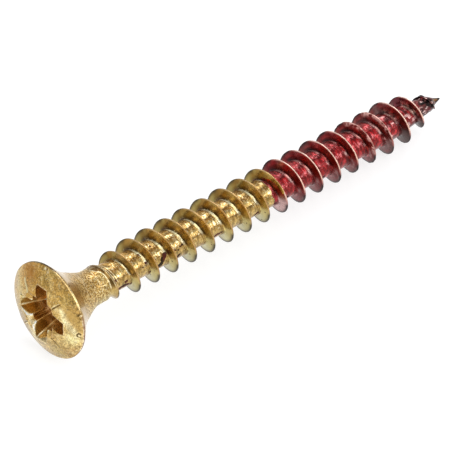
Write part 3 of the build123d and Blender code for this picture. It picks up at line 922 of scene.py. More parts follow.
tint = over(tint, (0.30, 0.26, 0.13), 0.55 * smooth(R, 3.76, 3.84) * on_head * np.clip(smooth(A180, 186, 205) + 1 - smooth(A180, -20, 5), 0, 1) * (S < -0.1))
lum = 1 + 0.07 * n_big + 0.10 * n_mid + 0.08 * n_small
tint = np.clip(tint * lum[:, None], 0.02, 0.97)

# lacquer: a field in mm, above zero where it covers
reach = np.interp(A180, [-90, 25, 55, 85, 112, 130, 270], [1.24, 1.24, 1.46, 1.62, 1.66, 1.30, 1.24])
on_flank = smooth(R - reach, 0.0, 0.16)
edge_core = 20.64 - 0.16 * np.cos(np.radians(A))
edge_flank = np.interp(A180, [-90, 95, 112, 135, 200, 270], [21.42, 21.30, 21.22, 20.95, 20.95, 21.42])
lac = S - (edge_core + (edge_flank - edge_core) * on_flank)
lac = lac + 0.07 * noise(P, 0.5, 111) + 0.05 * noise(P, 0.2, 112)
# a few specks of it ahead of its edge
lac = np.maximum(lac, 0.10 - 2.2 * np.hypot(S - 19.05, 1.2 * np.radians(turn_gap(A, 88))))
# lacquer colours by A, as on the metal: painted highlights and painted shade on the core and head-facing flank in the
# lamps' bands, and on the crest a painted highlight at the front and painted shade where it turns away
red_core = ramp(A180, [(-90, 0.34, 0.05, 0.04), (0, 0.40, 0.045, 0.040), (30, 0.42, 0.055, 0.050), (45, 0.33, 0.018, 0.020), (56, 0.17, 0.004, 0.004), (63, 0.12, 0.001, 0.001), (72, 0.14, 0.000, 0.000),
                       (82, 0.42, 0.010, 0.013), (90, 0.33, 0.007, 0.010), (98, 0.17, 0.002, 0.002), (109, 0.19, 0.003, 0.003), (125, 0.23, 0.008, 0.007), (145, 0.21, 0.006, 0.005), (160, 0.24, 0.022, 0.018),
                       (180, 0.30, 0.07, 0.06), (270, 0.34, 0.05, 0.04)])
red_head = ramp(A180, [(-90, 0.24, 0.04, 0.03), (-40, 0.28, 0.050, 0.035), (-15, 0.12, 0.006, 0.008), (5, 0.105, 0.003, 0.004), (24, 0.13, 0.001, 0.001), (42, 0.66, 0.20, 0.20),
                       (60, 0.72, 0.060, 0.045), (80, 0.56, 0.170, 0.110), (100, 0.31, 0.026, 0.006), (122, 0.27, 0.028, 0.018), (140, 0.16, 0.004, 0.004), (162, 0.140, 0.004, 0.004),
                       (185, 0.17, 0.009, 0.011), (270, 0.26, 0.04, 0.04)])
red_point = ramp(A180, [(-90, 0.30, 0.05, 0.04), (90, 0.34, 0.045, 0.035), (270, 0.30, 0.05, 0.04)])
red_crest = ramp(A180, [(-90, 0.020, 0.006, 0.008), (8, 0.020, 0.006, 0.008), (18, 0.45, 0.22, 0.18), (28, 0.88, 0.58, 0.50), (60, 0.92, 0.64, 0.54), (90, 0.90, 0.62, 0.50), (122, 0.84, 0.54, 0.42),
                        (136, 0.50, 0.25, 0.22), (148, 0.03, 0.012, 0.012), (215, 0.02, 0.008, 0.008), (270, 0.020, 0.006, 0.008)])
red = red_core + (red_head - red_core) * smooth(t_head, 0.15, 0.8)[:, None]
red = red + (red_point - red) * smooth(t_point, 0.15, 0.8)[:, None]
round_ = np.stack([0.42 * R * np.cos(np.radians(A)), 0.42 * R * np.sin(np.radians(A)), S], -1)
fleck = noise(round_, 0.18, 107)
on_core = 1 - smooth(R, 1.24, 1.36)
red = over(red, (0.70, 0.06, 0.07), 0.50 * on_core * smooth(fleck, 0.15, 0.7))
red = over(red, (0.09, 0.006, 0.006), 0.60 * on_core * smooth(-fleck, 0.15, 0.7))
red = over(red, (0.24, 0.012, 0.016), 0.35 * t_head * smooth(n_hue2, 0.2, 0.7) * (1 - smooth(A180, 20, 60)))
red = over(red, (0.10, 0.055, 0.050), 0.45 * t_head * smooth(-n_hue, 0.1, 0.6) * (1 - smooth(A180, 0, 50)))
red = over(red, (0.075, 0.016, 0.016), 0.50 * t_head * smooth(arcs, 0.10, 0.55))
red = over(red, (0.26, 0.030, 0.028), 0.55 * t_head * smooth(-arcs, 0.15, 0.6) * (1 - smooth(A180, 100, 130)))
# painted reflection: pale mauve low on the flanks
red = over(red, (0.34, 0.20, 0.19), 0.55 * t_head * smooth(-arcs - 0.4 * blot, 0.2, 0.6) * smooth(A180, 118, 140) * (1 - smooth(A180, 160, 185)))
# the first turns under the edge carry a thin, pale coat at the bottom
thin = (1 - smooth(turn, 8.55, 8.9)) * smooth(A180, 112, 145)
red = over(red, (0.62, 0.40, 0.38), 0.8 * thin * t_head)
# a painted catch of light where the lacquered core climbs, the painted shadow line in the cleft behind it, and painted
# shade as dark outlines
narrow = np.clip(tag("climb"), 0, 1) ** 2.5
red = over(red, (1.0, 0.78, 0.72), 0.95 * narrow * front * smooth(noise(P, 0.5, 108), -0.40, 0.05))
red = over(red, (0.012, 0.003, 0.004), 0.9 * behind)
red = over(red, (0.012, 0.005, 0.006), 0.92 * brink * away)
red = red + (red_crest - red) * smooth(crest, 0.25, 0.90)[:, None]
# two crests worn broad and scalloped
broad = smooth(A180, 8, 25) * (1 - smooth(A180, 128, 150)) * (np.exp(-((turn - 13.22) / 0.24) ** 4) + np.exp(-((turn - 14.24) / 0.24) ** 4))
scallop = smooth(noise(P, 0.19, 109), -0.25, 0.25)
near_crest = np.clip(crest + (1 - smooth(root, 0.28, 0.50)) * (root > 0) * (t_head > 0.5), 0, 1)
worn = np.clip(broad, 0, 1) * near_crest * (0.15 + 0.85 * scallop)
red = over(red, (0.92, 0.52, 0.46), worn)
red = over(red, (0.20, 0.02, 0.02), np.clip(broad, 0, 1) * near_crest * 0.7 * (1 - scallop))
# worn through: grey-green metal towards the point, in patches
patch = noise(P, 0.8, 121) + 0.6 * noise(P, 0.3, 122)
wear = smooth(turn, 13.4, 14.9) * t_head * (0.40 + 0.35 * smooth(A180, 100, 150) + 0.30 * np.exp(-((A180 + 5) / 35) ** 2))
wear = np.clip(wear * (1.0 + 1.1 * patch), 0, 1) * (1 - smooth(crest, 0.2, 0.6))
red = over(red, (0.125, 0.066, 0.062), 0.85 * wear)
red = over(red, (0.13, 0.008, 0.022), 0.6 * smooth(turn, 15.0, 15.6) * t_head * (1 - smooth(A180, 30, 70)) * smooth(n_mid, -0.4, 0.3))
# bare pale streaks at the ridges' feet near the point
bare = smooth(turn, 14.2, 14.7) * np.clip(tag("climb") + 0.7 * bump(root, 0.85, 0.12) * (t_head > 0.3), 0, 1) * smooth(A180, 15, 35) * (1 - smooth(A180, 95, 112))
red = over(red, (0.72, 0.62, 0.52), 0.9 * bare * smooth(noise(P, 0.4, 126), -0.45, 0.05))
# near the point: dark spots, and pale spots that are painted glints
late = smooth(S, 31.4, 32.6) * on_core
red = over(red, (0.05, 0.006, 0.007), 0.7 * late * smooth(noise(P, 0.34, 127), 0.1, 0.45))
red = over(red, (0.90, 0.55, 0.52), 0.75 * late * smooth(noise(P, 0.26, 128), 0.46, 0.60))
red = over(red, (0.045, 0.026, 0.023), 0.75 * t_head * smooth(turn, 14.9, 15.2) * smooth(A180, 105, 135))
# the lump before the point: dark red and black, with pale spots that are painted glints
lump = smooth(S, 36.05, 36.35) * (1 - smooth(S, 37.85, 38.0))
red = over(red, (0.13, 0.045, 0.042), 0.9 * lump)
red = over(red, (0.20, 0.03, 0.04), 0.7 * lump * smooth(noise(P, 0.40, 123), 0.1, 0.5))
red = over(red, (0.012, 0.010, 0.010), 0.95 * lump * smooth(noise(P, 0.22, 124), -0.05, 0.25))
red = over(red, (0.85, 0.58, 0.54), 0.9 * lump * smooth(noise(P, 0.20, 125), 0.44, 0.58))
# painted shade: a dark outline where the last turn's underside curves away
red = over(red, (0.015, 0.010, 0.010), 0.9 * smooth(S, 35.2, 36.2) * (1 - smooth(S, 37.85, 38.0)) * np.clip(smooth(A180, 150, 166) + 1 - smooth(A180, 2, 16), 0, 1))
# the point is dark, with a painted highlight at the front and painted shade below it
point = smooth(S, 37.80, 38.0)
red = over(red, (0.036, 0.009, 0.005), 0.97 * point)
red = over(red, (0.55, 0.30, 0.12), 0.7 * point * bump(A180, 84, 16) * (1 - smooth(S, 38.25, 38.40)))
red = over(red, (0.03, 0.012, 0.012), 0.9 * point * smooth(A180, 110, 135) * (1 - smooth(S, 38.1, 38.3)))
red = over(red, (0.015, 0.010, 0.008), 0.97 * smooth(S, 38.30, 38.42))
coat = np.clip(1 - 0.92 * t_head - worn - 0.8 * wear - 0.7 * lump - 0.8 * point - 0.9 * smooth(crest, 0.5, 0.9), 0, 1)

# dirt and pits, dark brown to black: (s, A, size mm)
dirt = np.zeros(len(S))
for ds, da, dm in (
    (5.45, 156, 0.10), (5.60, 153, 0.10), (5.76, 155, 0.15), (5.96, 151, 0.17), (6.12, 155, 0.17), (6.28, 152, 0.12), (6.44, 157, 0.10), (6.24, 137, 0.13), (6.36, 133, 0.08), (6.75, 158, 0.09),
    (5.24, 110, 0.10), (5.42, 114, 0.06), (8.00, 66, 0.06), (8.06, 71, 0.07), (8.12, 78, 0.05), (8.25, 107, 0.10), (8.52, 151, 0.11), (9.28, 60, 0.09), (9.40, 149, 0.18), (9.44, 158, 0.13), (9.60, 144, 0.20), (9.76, 136, 0.13),
    (9.80, 127, 0.20), (9.98, 121, 0.13), (10.02, 111, 0.17), (9.66, 152, 0.10), (7.6, 96, 0.06), (7.9, 118, 0.07), (11.05, 118, 0.07), (11.3, 124, 0.08), (11.5, 116, 0.06), (11.24, 155, 0.16), (11.40, 149, 0.13), (11.72, 112, 0.08), (13.0, 160, 0.09),
    (14.92, 154, 0.12), (15.12, 150, 0.14), (15.32, 153, 0.13), (15.52, 150, 0.11), (18.90, 158, 0.10), (19.12, 152, 0.12), (20.19, 158, 0.14),
    (20.90, 157, 0.12), (22.12, 159, 0.14), (25.68, 158, 0.15), (25.85, 154, 0.10), (29.3, 160, 0.10), (14.0, 72, 0.07), (15.9, 93, 0.06),
):
    d = np.hypot(S - ds, np.radians(turn_gap(A, da)) * np.minimum(R, 1.3))
    dirt = np.maximum(dirt, 1.25 * np.exp(-(d / dm) ** 2) * (1 - smooth(R, 1.36, 1.6)))
dirt = np.clip(dirt * (1.1 + 0.4 * n_small), 0, 1.2)
# single dark dots on the lower lobes: (s, A, r, size)
for ds, da, dr, dm in ((8.09, 149, 1.70, 0.09), (7.98, 156, 1.52, 0.06), (14.2, 151, 1.70, 0.07), (15.55, 155, 1.55, 0.08), (19.07, 142, 1.80, 0.09),
                       (19.15, 154, 1.62, 0.07), (20.96, 156, 1.78, 0.09), (20.92, 148, 1.62, 0.07), (24.57, 142, 1.66, 0.11), (24.60, 150, 1.55, 0.07)):
    q = own_xyz(np.array([ds]), np.array([dr]), np.array([float(da)]))[0]
    dd = np.hypot(np.hypot(P[:, 0] - q[0], P[:, 1] - q[1]), 0.35 * (P[:, 2] - q[2]))
    dirt = np.maximum(dirt, 1.2 * np.exp(-(dd / dm) ** 2) * t_head)
# where dots of it are scattered: the lower lobes, the neck
dots = np.clip(0.9 * t_head * smooth(A180, 128, 150) * (1 - smooth(A180, 215, 240)) * smooth(turn, 0.5, 1.5)
               + 0.35 * (1 - smooth(np.abs(S - 4.0), 1.0, 1.6)) + 0.35 * on_head * (1 - smooth(deep, 0.02, 0.1)), 0, 1)
dots = dots * (1 - 0.6 * smooth(lac, 0.0, 0.2))


def paint(name, rgb):
    at = me.attributes.new(name, "FLOAT_COLOR", "POINT")
    at.data.foreach_set("color", np.concatenate([rgb, np.ones((len(rgb), 1))], 1).astype(np.float32).ravel())


paint("tint", np.clip(tint, 0.005, 0.97))
paint("red", np.clip(red, 0.004, 0.97))
put("lac", lac)
put("coat", coat)
put("dirt", dirt)
put("dots", dots)
# how rough: the neck is sandy, the core and crests smoother, the recess in between
sandy = np.clip(1.0 * (1 - smooth(np.abs(S - 2.9), 1.2, 2.0)) * (1 - on_head) + 0.5 * on_head * (1 - smooth(deep, 0.05, 0.3)) * (1 - 0.8 * calm), 0, 1)
put("sandy", sandy)
# how mottled, how streaky along the rolling marks, and where painted glints go: painted highlights in the bands where
# the lamps' reflections fall
mottle = np.clip(0.35 + 0.65 * sandy + 0.02 * on_head + 0.35 * on_core * (S > 4.5) - 0.30 * t_head - 0.2 * calm, 0, 1) * (1 - 0.75 * hollow * (1 - lit))
put("mottle", mottle)
put("gritty", np.clip(smooth(S, 2.3, 1.2) * on_head * (1 - smooth(deep, 0.05, 0.3)) * (1 - 0.75 * calm) + 0.8 * (1 - smooth(np.abs(S - 3.4), 1.0, 1.6)) * (1 - on_head), 0, 1))
streaky = on_core * smooth(S, 4.7, 5.6) * (1 - smooth(S, 35.8, 36.4)) * (1 - 0.8 * np.clip(tag("climb"), 0, 1))
put("streaky", streaky + 0.15 * smooth(S, 2.0, 2.5) * (1 - smooth(S, 4.6, 5.4)) * (1 - on_head))
glint = streaky * np.clip(bump(A180, 55, 13) + bump(A180, 98, 12) + 0.25 * smooth(A180, 30, 45) * (1 - smooth(A180, 110, 130)), 0, 1)
put("glint", glint)
fine = smooth(A180, 24, 44) * (1 - smooth(A180, 116, 130)) * smooth(S, 3.4, 3.7) * (1 - smooth(S, 5.45, 5.6))
put("fine", fine)
put("past_foot", S - foot_at)
put("past_ridge", S - 0.005 * (A180 - 90))
# less metallic where the lacquer is worn, and on the painted highlights: the bead and the climbing catch of light
dull_wear_and_highlight = np.maximum(worn * smooth(lac, 0.0, 0.2) * (t_head > 0.5), np.clip(1.2 * tag("bead"), 0, 1))
put("dull_wear_and_highlight", np.maximum(dull_wear_and_highlight, 0.45 * climbing * front * (1 - smooth(lac, 0.0, 0.2))))
put("own_x", P[:, 0])
put("own_y", P[:, 1])
put("still", np.clip(tag("climb") + tag("cleft") + brink, 0, 1))


class Nodes:
    """Short names for the node calls used below."""

    def __init__(self, tree):
        self.tree = tree
        tree.nodes.clear()

    def add(self, kind, **props):
        n = self.tree.nodes.new(kind)
        for k, v in props.items():
            setattr(n, k, v)
        return n

    def feed(self, node, socket, value):
        s_ = node.inputs[socket]
        if isinstance(value, bpy.types.NodeSocket):
            self.tree.links.new(value, s_)
        else:
            s_.default_value = value

    def math(self, op, a_, b_=0.0, c_=0.0, clamp=False):
        n = self.add("ShaderNodeMath", operation=op, use_clamp=clamp)
        for i, v in enumerate((a_, b_, c_)):
            self.feed(n, i, v)
        return n.outputs[0]

    def mix(self, fac, a_, b_, mode="MIX"):
        n = self.add("ShaderNodeMix", data_type="RGBA", blend_type=mode)
        self.feed(n, 0, fac)
        for key, v in ((6, a_), (7, b_)):
            self.feed(n, key, v if isinstance(v, bpy.types.NodeSocket) else (*v, 1.0))
        return n.outputs[2]

    def fit(self, value, lo, hi, to_lo=0.0, to_hi=1.0):
        n = self.add("ShaderNodeMapRange", interpolation_type="SMOOTHSTEP")
        for i, v in enumerate((value, lo, hi, to_lo, to_hi)):
            self.feed(n, i, v)
        return n.outputs[0]

    def value(self, name):
        return self.add("ShaderNodeAttribute", attribute_name=name).outputs["Fac"]

    def colour(self, name):
        return self.add("ShaderNodeAttribute", attribute_name=name).outputs["Color"]

    def noise(self, vector, scale, detail=2.0, rough=0.5, distort=0.0):
        n = self.add("ShaderNodeTexNoise")
        self.feed(n, "Vector", vector)
        for k, v in (("Scale", scale), ("Detail", detail), ("Roughness", rough), ("Distortion", distort)):
            n.inputs[k].default_value = v
        return n.outputs["Fac"]


mat = bpy.data.materials.new("passivated_steel")
mat.use_nodes = True
g = Nodes(mat.node_tree)
place = g.add("ShaderNodeTexCoord").outputs["Object"]
mm = g.add("ShaderNodeVectorMath", operation="SCALE")
g.feed(mm, 0, place)
mm.inputs["Scale"].default_value = 1000.0
mm = mm.outputs[0]
# marks of rolling run round the shank
wrap = g.add("ShaderNodeCombineXYZ")
g.feed(wrap, 0, g.math("MULTIPLY", g.value("cosa"), 0.34))
g.feed(wrap, 1, g.math("MULTIPLY", g.value("sina"), 0.34))
g.feed(wrap, 2, g.value("sax"))
wrap = wrap.outputs[0]

speckle = g.noise(mm, 4.4, 3.0, 0.68)
grain = g.noise(mm, 7.6, 2.0, 0.55)
cloud = g.noise(mm, 2.2, 2.0, 0.5)
rolled = g.noise(wrap, 6.0, 3.0, 0.65)
sand = g.noise(mm, 8.2, 1.5, 0.5)
grit = g.noise(mm, 11.0, 1.0, 0.5)
on_shank = g.fit(g.value("sax"), 4.4, 5.4)
lacquered = g.fit(g.math("ADD", g.value("lac"),
                         g.math("ADD", g.math("MULTIPLY", g.math("SUBTRACT", cloud, 0.5), 0.16),
                                g.math("MULTIPLY", g.math("SUBTRACT", speckle, 0.5), 0.20))), -0.02, 0.02)


def swing(value, lo, hi, weight):
    """One plus a noise's swing from -1 to 1, times a weight."""
    return g.math("MULTIPLY_ADD", g.fit(value, lo, hi, -1.0, 1.0), weight, 1.0)


# passivated metal: light and dark grains, streaks round the shank, brown in the pits
coarse = g.math("MULTIPLY", g.value("mottle"), g.math("MULTIPLY_ADD", g.value("sandy"), -0.12, 0.37))
bright = g.math("MULTIPLY", swing(speckle, 0.34, 0.66, coarse),
                swing(rolled, 0.34, 0.66, g.math("MULTIPLY", g.value("streaky"), 0.34)))
bright = g.math("MULTIPLY", bright, swing(grit, 0.36, 0.64, g.math("MULTIPLY", g.value("gritty"), 0.26)))
scaled = g.add("ShaderNodeVectorMath", operation="SCALE")
g.feed(scaled, 0, g.colour("tint"))
g.feed(scaled, "Scale", bright)
metal = scaled.outputs[0]
neck_sand = g.math("MULTIPLY", g.value("sandy"), g.math("SUBTRACT", 1.0, g.fit(g.value("sax"), 0.2, -0.1)))
metal = g.mix(g.math("MULTIPLY", g.fit(sand, 0.46, 0.39), g.math("MULTIPLY", neck_sand, 0.85)), metal, (0.20, 0.095, 0.022))
metal = g.mix(g.math("MULTIPLY", g.fit(sand, 0.53, 0.60), g.math("MULTIPLY", neck_sand, 0.44)), metal, (1.0, 0.84, 0.46))
pits = g.math("MULTIPLY", g.fit(grain, 0.42, 0.34), g.math("MULTIPLY", g.value("mottle"), 0.75))
metal = g.mix(pits, metal, (0.22, 0.12, 0.04))
pale = g.math("MULTIPLY", g.fit(grain, 0.60, 0.68), g.math("MULTIPLY", g.value("mottle"), 0.50))
metal = g.mix(pale, metal, (0.95, 0.86, 0.58))
# painted highlights: pale glints in the glint bands
shine = g.math("MULTIPLY", g.fit(g.math("MULTIPLY_ADD", grain, 0.4, g.math("MULTIPLY", rolled, 0.6)), 0.52, 0.57), g.value("glint"))
metal = g.mix(g.math("MULTIPLY", shine, 0.48), metal, (0.98, 0.93, 0.63))


def line(value, centre, half, soft):
    """A thin line where a field is near a value."""
    return g.fit(g.math("ABSOLUTE", g.math("SUBTRACT", value, centre)), half + soft, half)


def strongest(parts):
    best = parts[0]
    for other in parts[1:]:
        best = g.math("MAXIMUM", best, other)
    return best


# fine rings and steps where the neck meets the thread, drawn as painted highlight lines and painted shade lines
pf, pr_, sx = g.value("past_foot"), g.value("past_ridge"), g.value("sax")
lines_lit = strongest([line(pf, 0.00, 0.020, 0.035), g.math("MULTIPLY", line(pr_, 4.858, 0.008, 0.022), 0.8), line(pr_, 4.970, 0.014, 0.028), line(pr_, 5.165, 0.014, 0.030), line(pr_, 5.375, 0.018, 0.030),
                       g.math("MULTIPLY", line(sx, 3.88, 0.010, 0.035), 0.55)])
uneven = g.math("MULTIPLY_ADD", g.fit(sand, 0.40, 0.55), 0.45, 0.55)
lines_lit = g.math("MULTIPLY", lines_lit, uneven)
lines_dark = strongest([line(pr_, 4.735, 0.060, 0.035), line(pr_, 4.912, 0.010, 0.026), line(pr_, 5.065, 0.018, 0.035), line(pr_, 5.262, 0.018, 0.035), line(pf, 0.10, 0.02, 0.04),
                        g.math("MULTIPLY", line(sx, 3.80, 0.012, 0.03), 0.5)])
metal = g.mix(g.math("MULTIPLY", g.math("MULTIPLY", lines_dark, g.value("fine")), 0.85), metal, (0.12, 0.062, 0.016))
metal = g.mix(g.math("MULTIPLY", g.math("MULTIPLY", lines_lit, g.value("fine")), 0.85), metal, (1.0, 0.88, 0.56))

# lacquer over metal: crimson, darker and brighter where it is thick or thin, broken by pale painted glints
depth = g.math("MULTIPLY", swing(rolled, 0.34, 0.66, g.math("MULTIPLY_ADD", g.value("streaky"), 0.34, 0.08)),
               swing(speckle, 0.34, 0.66, g.math("MULTIPLY_ADD", g.value("streaky"), 0.04, 0.14)))
scaled = g.add("ShaderNodeVectorMath", operation="SCALE")
g.feed(scaled, 0, g.colour("red"))
g.feed(scaled, "Scale", depth)
cherry = scaled.outputs[0]
cherry = g.mix(g.math("MULTIPLY", shine, 0.28), cherry, (0.88, 0.36, 0.38))
base = g.mix(lacquered, metal, cherry)

# small marks, short radial marks and a nick on the raised head, in the screw's own x and y
at_top = g.fit(g.value("sax"), 0.0, -0.12)
flat = g.add("ShaderNodeCombineXYZ")
g.feed(flat, 0, g.value("own_x"))
g.feed(flat, 1, g.value("own_y"))
flat = flat.outputs[0]
ragged = g.math("MULTIPLY", g.math("SUBTRACT", grain, 0.5), 0.16)


def away(a, r):
    """Distance from the place at A = a, r from the axis."""
    n = g.add("ShaderNodeVectorMath", operation="DISTANCE")
    g.feed(n, 0, flat)
    n.inputs[1].default_value = (r * math.cos(math.radians(a)), r * math.sin(math.radians(a)), 0)
    return g.math("ADD", n.outputs["Value"], ragged)


def along(angle):
    """Distance from the axis in a direction."""
    n = g.add("ShaderNodeVectorMath", operation="DOT_PRODUCT")
    g.feed(n, 0, flat)
    n.inputs[1].default_value = (math.cos(math.radians(angle)), math.sin(math.radians(angle)), 0)
    return n.outputs["Value"]


for pa, pr, ps, colour, weight in (
    (326.5, 2.40, 0.085, (0.14, 0.11, 0.03), 0.95), (331, 2.12, 0.13, (0.95, 0.87, 0.58), 0.85), (321, 2.22, 0.10, (0.80, 0.70, 0.42), 0.7),
    (215, 2.28, 0.09, (0.26, 0.19, 0.06), 0.85), (195, 2.22, 0.07, (0.28, 0.20, 0.06), 0.8), (206, 1.84, 0.08, (0.33, 0.22, 0.07), 0.7),
    (210, 2.05, 0.07, (0.40, 0.29, 0.10), 0.6), (200, 2.6, 0.06, (0.36, 0.27, 0.09), 0.6), (162.5, 3.14, 0.085, (0.34, 0.23, 0.07), 0.85),
    (159, 3.28, 0.05, (0.34, 0.23, 0.08), 0.7), (156, 3.74, 0.06, (0.22, 0.14, 0.05), 0.9), (341, 2.87, 0.07, (0.34, 0.26, 0.09), 0.6),
    (7, 2.80, 0.06, (0.33, 0.22, 0.07), 0.7), (12, 2.66, 0.06, (0.36, 0.24, 0.08), 0.6), (40, 2.84, 0.09, (0.30, 0.20, 0.05), 0.7),
    (56, 2.90, 0.10, (0.34, 0.25, 0.07), 0.6), (67, 2.66, 0.07, (0.33, 0.22, 0.07), 0.6), (87, 2.98, 0.05, (0.26, 0.17, 0.05), 0.8),
    (38, 3.62, 0.07, (0.20, 0.12, 0.04), 0.8), (44.2, 3.74, 0.08, (0.22, 0.10, 0.04), 0.9), (41.5, 3.72, 0.10, (0.95, 0.85, 0.55), 0.9),
    (47, 3.60, 0.08, (0.90, 0.72, 0.45), 0.6), (111.8, 3.70, 0.085, (0.13, 0.08, 0.02), 0.95), (116, 3.76, 0.09, (0.16, 0.10, 0.03), 0.9),
    (106, 3.62, 0.05, (0.30, 0.20, 0.06), 0.7), (113, 3.82, 0.06, (0.88, 0.78, 0.50), 0.8), (119, 3.78, 0.05, (0.75, 0.55, 0.30), 0.7),
    (166.5, 1.99, 0.07, (0.22, 0.15, 0.05), 0.85), (168, 2.15, 0.05, (0.30, 0.20, 0.06), 0.7), (70, 3.45, 0.05, (0.85, 0.72, 0.40), 0.6),
    (62, 3.30, 0.05, (0.32, 0.22, 0.08), 0.6), (150, 3.42, 0.10, (0.92, 0.82, 0.50), 0.7), (143, 3.35, 0.09, (0.92, 0.82, 0.50), 0.7),
    (149, 2.75, 0.10, (0.92, 0.80, 0.46), 0.6), (174, 3.30, 0.06, (0.40, 0.28, 0.10), 0.6), (186, 3.05, 0.06, (0.42, 0.30, 0.11), 0.5),
):
    base = g.mix(g.math("MULTIPLY", g.fit(away(pa, pr), 1.35 * ps, 0.45 * ps), g.math("MULTIPLY", at_top, weight)), base, colour)
# each short mark: a painted shadow line on one side of its ridge and a painted highlight line on the other
for k in range(4):
    out_, across_ = along(TICK_0 + 90 * k), along(TICK_0 + 90 * k + 90)
    bent = g.math("ADD", across_, g.math("MULTIPLY", g.math("SUBTRACT", cloud, 0.5), 0.10))
    span = g.math("MULTIPLY", g.math("MULTIPLY", g.fit(out_, 1.84, 1.92), g.fit(out_, TICK_OUT[k], TICK_OUT[k] - 0.12)), at_top)
    pale_ = 0.55 if k == 2 else 1.0
    base = g.mix(g.math("MULTIPLY", g.math("MULTIPLY", g.fit(g.math("ABSOLUTE", g.math("SUBTRACT", bent, 0.030)), 0.060, 0.020), span), 0.85), base, (0.15, 0.085, 0.028))
    base = g.mix(g.math("MULTIPLY", g.math("MULTIPLY", g.fit(g.math("ABSOLUTE", g.math("ADD", bent, 0.062)), 0.056, 0.020), span), (0.62 if k == 1 else 0.92) * pale_), base, (1.0, 0.88, 0.50))
ring = g.fit(g.math("ABSOLUTE", g.math("SUBTRACT", away(139, 3.60), 0.18)), 0.085, 0.040)
ring = g.math("MULTIPLY", ring, g.fit(along(150), 3.66, 3.60))
base = g.mix(g.math("MULTIPLY", g.math("MULTIPLY", ring, at_top), 0.92), base, (0.075, 0.042, 0.014))
base = g.mix(g.math("MULTIPLY", g.math("MULTIPLY", g.fit(away(139, 3.60), 0.11, 0.05), at_top), 0.85), base, (0.92, 0.80, 0.48))
base = g.mix(g.math("MULTIPLY", g.math("MULTIPLY", g.fit(away(146, 3.76), 0.16, 0.08), at_top), 0.85), base, (0.80, 0.62, 0.32))

# dirt
dotty = g.add("ShaderNodeTexVoronoi")
g.feed(dotty, "Vector", mm)
dotty.inputs["Scale"].default_value = 1.9
dot = g.math("MULTIPLY", g.fit(dotty.outputs["Distance"], 0.17, 0.12), g.value("dots"))
grime = g.math("MAXIMUM", g.fit(g.math("MULTIPLY_ADD", g.math("SUBTRACT", speckle, 0.5), 0.9, g.value("dirt")), 0.38, 0.50), dot, clamp=True)
base = g.mix(g.math("MULTIPLY", grime, 0.94), base, g.mix(g.fit(cloud, 0.40, 0.60), (0.016, 0.008, 0.006), (0.11, 0.016, 0.020)))

# bumps: grains everywhere, sand on the neck and head, rolling marks on the shank
height = g.math("MULTIPLY", speckle, g.math("MULTIPLY_ADD", g.value("sandy"), 1.5, g.math("MULTIPLY_ADD", g.value("mottle"), 0.5, 0.25)))
height = g.math("ADD", height, g.math("MULTIPLY", grain, g.math("MULTIPLY_ADD", g.value("sandy"), 0.7, 0.12)))
height = g.math("ADD", height, g.math("MULTIPLY", g.math("MULTIPLY", rolled, g.value("streaky")), 1.3))
height = g.math("MULTIPLY", height, g.math("SUBTRACT", 1.0, g.math("MULTIPLY", g.value("still"), 0.85)))
height = g.math("SUBTRACT", height, g.math("MULTIPLY", grime, 0.8))
bumped = g.add("ShaderNodeBump")
g.feed(bumped, "Height", height)
bumped.inputs["Strength"].default_value = 1.0
bumped.inputs["Distance"].default_value = 0.000016

rough = g.math("ADD", g.math("MULTIPLY_ADD", g.value("sandy"), 0.14, 0.20), g.math("MULTIPLY", g.math("SUBTRACT", speckle, 0.5), 0.25))
rough = g.math("ADD", rough, g.math("MULTIPLY", lacquered, 0.06))
rough = g.math("ADD", rough, g.math("MULTIPLY", grime, 0.4), clamp=True)

shader = g.add("ShaderNodeBsdfPrincipled")
g.feed(shader, "Base Color", base)
g.feed(shader, "Metallic", g.math("SUBTRACT", g.math("SUBTRACT", 1.0, g.math("MULTIPLY", lacquered, 0.05)), g.math("MULTIPLY", g.value("dull_wear_and_highlight"), 0.85), clamp=True))
g.feed(shader, "Roughness", rough)
g.feed(shader, "Normal", bumped.outputs[0])
g.feed(shader, "Coat Weight", g.math("MULTIPLY", g.math("MULTIPLY", lacquered, g.math("MULTIPLY", g.value("coat"), 0.28)), g.math("SUBTRACT", 1.0, grime)))
shader.inputs["Coat Roughness"].default_value = 0.14
shader.inputs["Coat IOR"].default_value = 1.5
out = g.add("ShaderNodeOutputMaterial")
g.feed(out, "Surface", shader.outputs[0])
me.materials.append(mat)

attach(body, "root")
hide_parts("screw")

# ---------------------------------------------------------------------------
# floor, light and camera
# ---------------------------------------------------------------------------
fm = bpy.data.meshes.new("floor")
fm.from_pydata([(-1.5, -1.5, 0), (1.5, -1.5, 0), (1.5, 1.5, 0), (-1.5, 1.5, 0)], [], [(0, 1, 2, 3)])
floor = bpy.data.objects.new("floor", fm)
bpy.context.scene.collection.objects.link(floor)
pale = bpy.data.materials.new("pale_floor")
pale.use_nodes = True
pb = pale.node_tree.nodes["Principled BSDF"]
pb.inputs["Base Color"].default_value = (0.36, 0.36, 0.36, 1)
pb.inputs["Emission Color"].default_value = (1.0, 1.0, 1.0, 1)
pb.inputs["Emission Strength"].default_value = 0.76
pb.inputs["Roughness"].default_value = 0.9
pb.inputs["Specular IOR Level"].default_value = 0.1
fm.materials.append(pale)


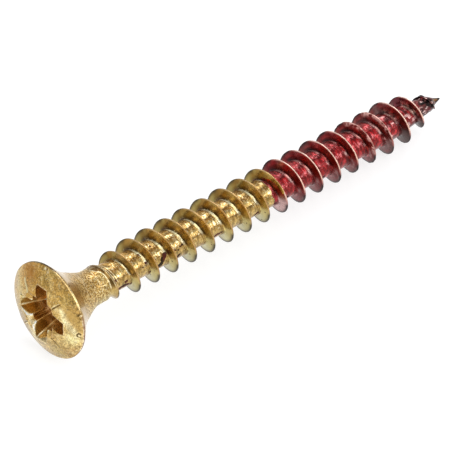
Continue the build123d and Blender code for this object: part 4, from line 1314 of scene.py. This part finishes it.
def softbox(name, direction, distance, size, power, colour=(1, 1, 1)):
    d = Vector(direction).normalized()
    light = bpy.data.lights.new(name, "AREA")
    light.shape = "RECTANGLE"
    light.size, light.size_y = size
    light.energy = power
    light.color = colour
    o = bpy.data.objects.new(name, light)
    o.location = d * distance
    side = Vector((1.0, 0.0, 0.0)) - d * d.x
    side.normalize()
    o.rotation_euler = Matrix((side, d.cross(side), d)).transposed().to_euler()
    o.visible_camera = False
    bpy.context.scene.collection.objects.link(o)
    return o


softbox("box_back", (-0.55, -0.33, 0.77), 0.9, (0.44, 0.44), 1.45)
softbox("box_side", (-0.53, 0.76, 0.40), 0.9, (0.36, 0.36), 0.98)
softbox("box_top", (-0.03, 0.46, 0.885), 0.9, (0.30, 0.72), 1.70)

# the room: pale, a little dimmer behind the camera's side
world = bpy.data.worlds.new("studio")
bpy.context.scene.world = world
world.use_nodes = True
w = Nodes(world.node_tree)
heading = w.add("ShaderNodeTexCoord").outputs["Generated"]
toward = w.add("ShaderNodeVectorMath", operation="DOT_PRODUCT")
w.feed(toward, 0, heading)
toward.inputs[1].default_value = (0.468, 0.543, 0.697)
dim = w.fit(toward.outputs["Value"], 0.35, 0.95, 0.80, 0.60)
plain = w.add("ShaderNodeLightPath").outputs["Is Camera Ray"]
back = w.add("ShaderNodeBackground")
w.feed(back, "Color", (1.0, 1.0, 1.0, 1.0))
w.feed(back, "Strength", w.math("ADD", w.math("MULTIPLY", dim, w.math("SUBTRACT", 1.0, plain)), w.math("MULTIPLY", plain, 0.95)))
out = w.add("ShaderNodeOutputWorld")
w.feed(out, "Surface", back.outputs[0])

bpy.context.scene.view_settings.view_transform = "Standard"

cam_data = bpy.data.cameras.new("camera")
cam_data.lens = 414.34
cam_data.sensor_width = 36.0
cam_data.clip_start = 0.02
cam_data.clip_end = 20.0
cam = bpy.data.objects.new("camera", cam_data)
right = Vector((-0.757598, 0.652721, 0.0)).normalized()
back = Vector((0.467849, 0.543021, 0.697313)).normalized()
up = back.cross(right)
cam.matrix_world = Matrix((
    (right.x, up.x, back.x, 0.1851048),
    (right.y, up.y, back.y, 0.2129711),
    (right.z, up.z, back.z, 0.2749391),
    (0, 0, 0, 1),
))
bpy.context.scene.collection.objects.link(cam)
bpy.context.scene.camera = cam
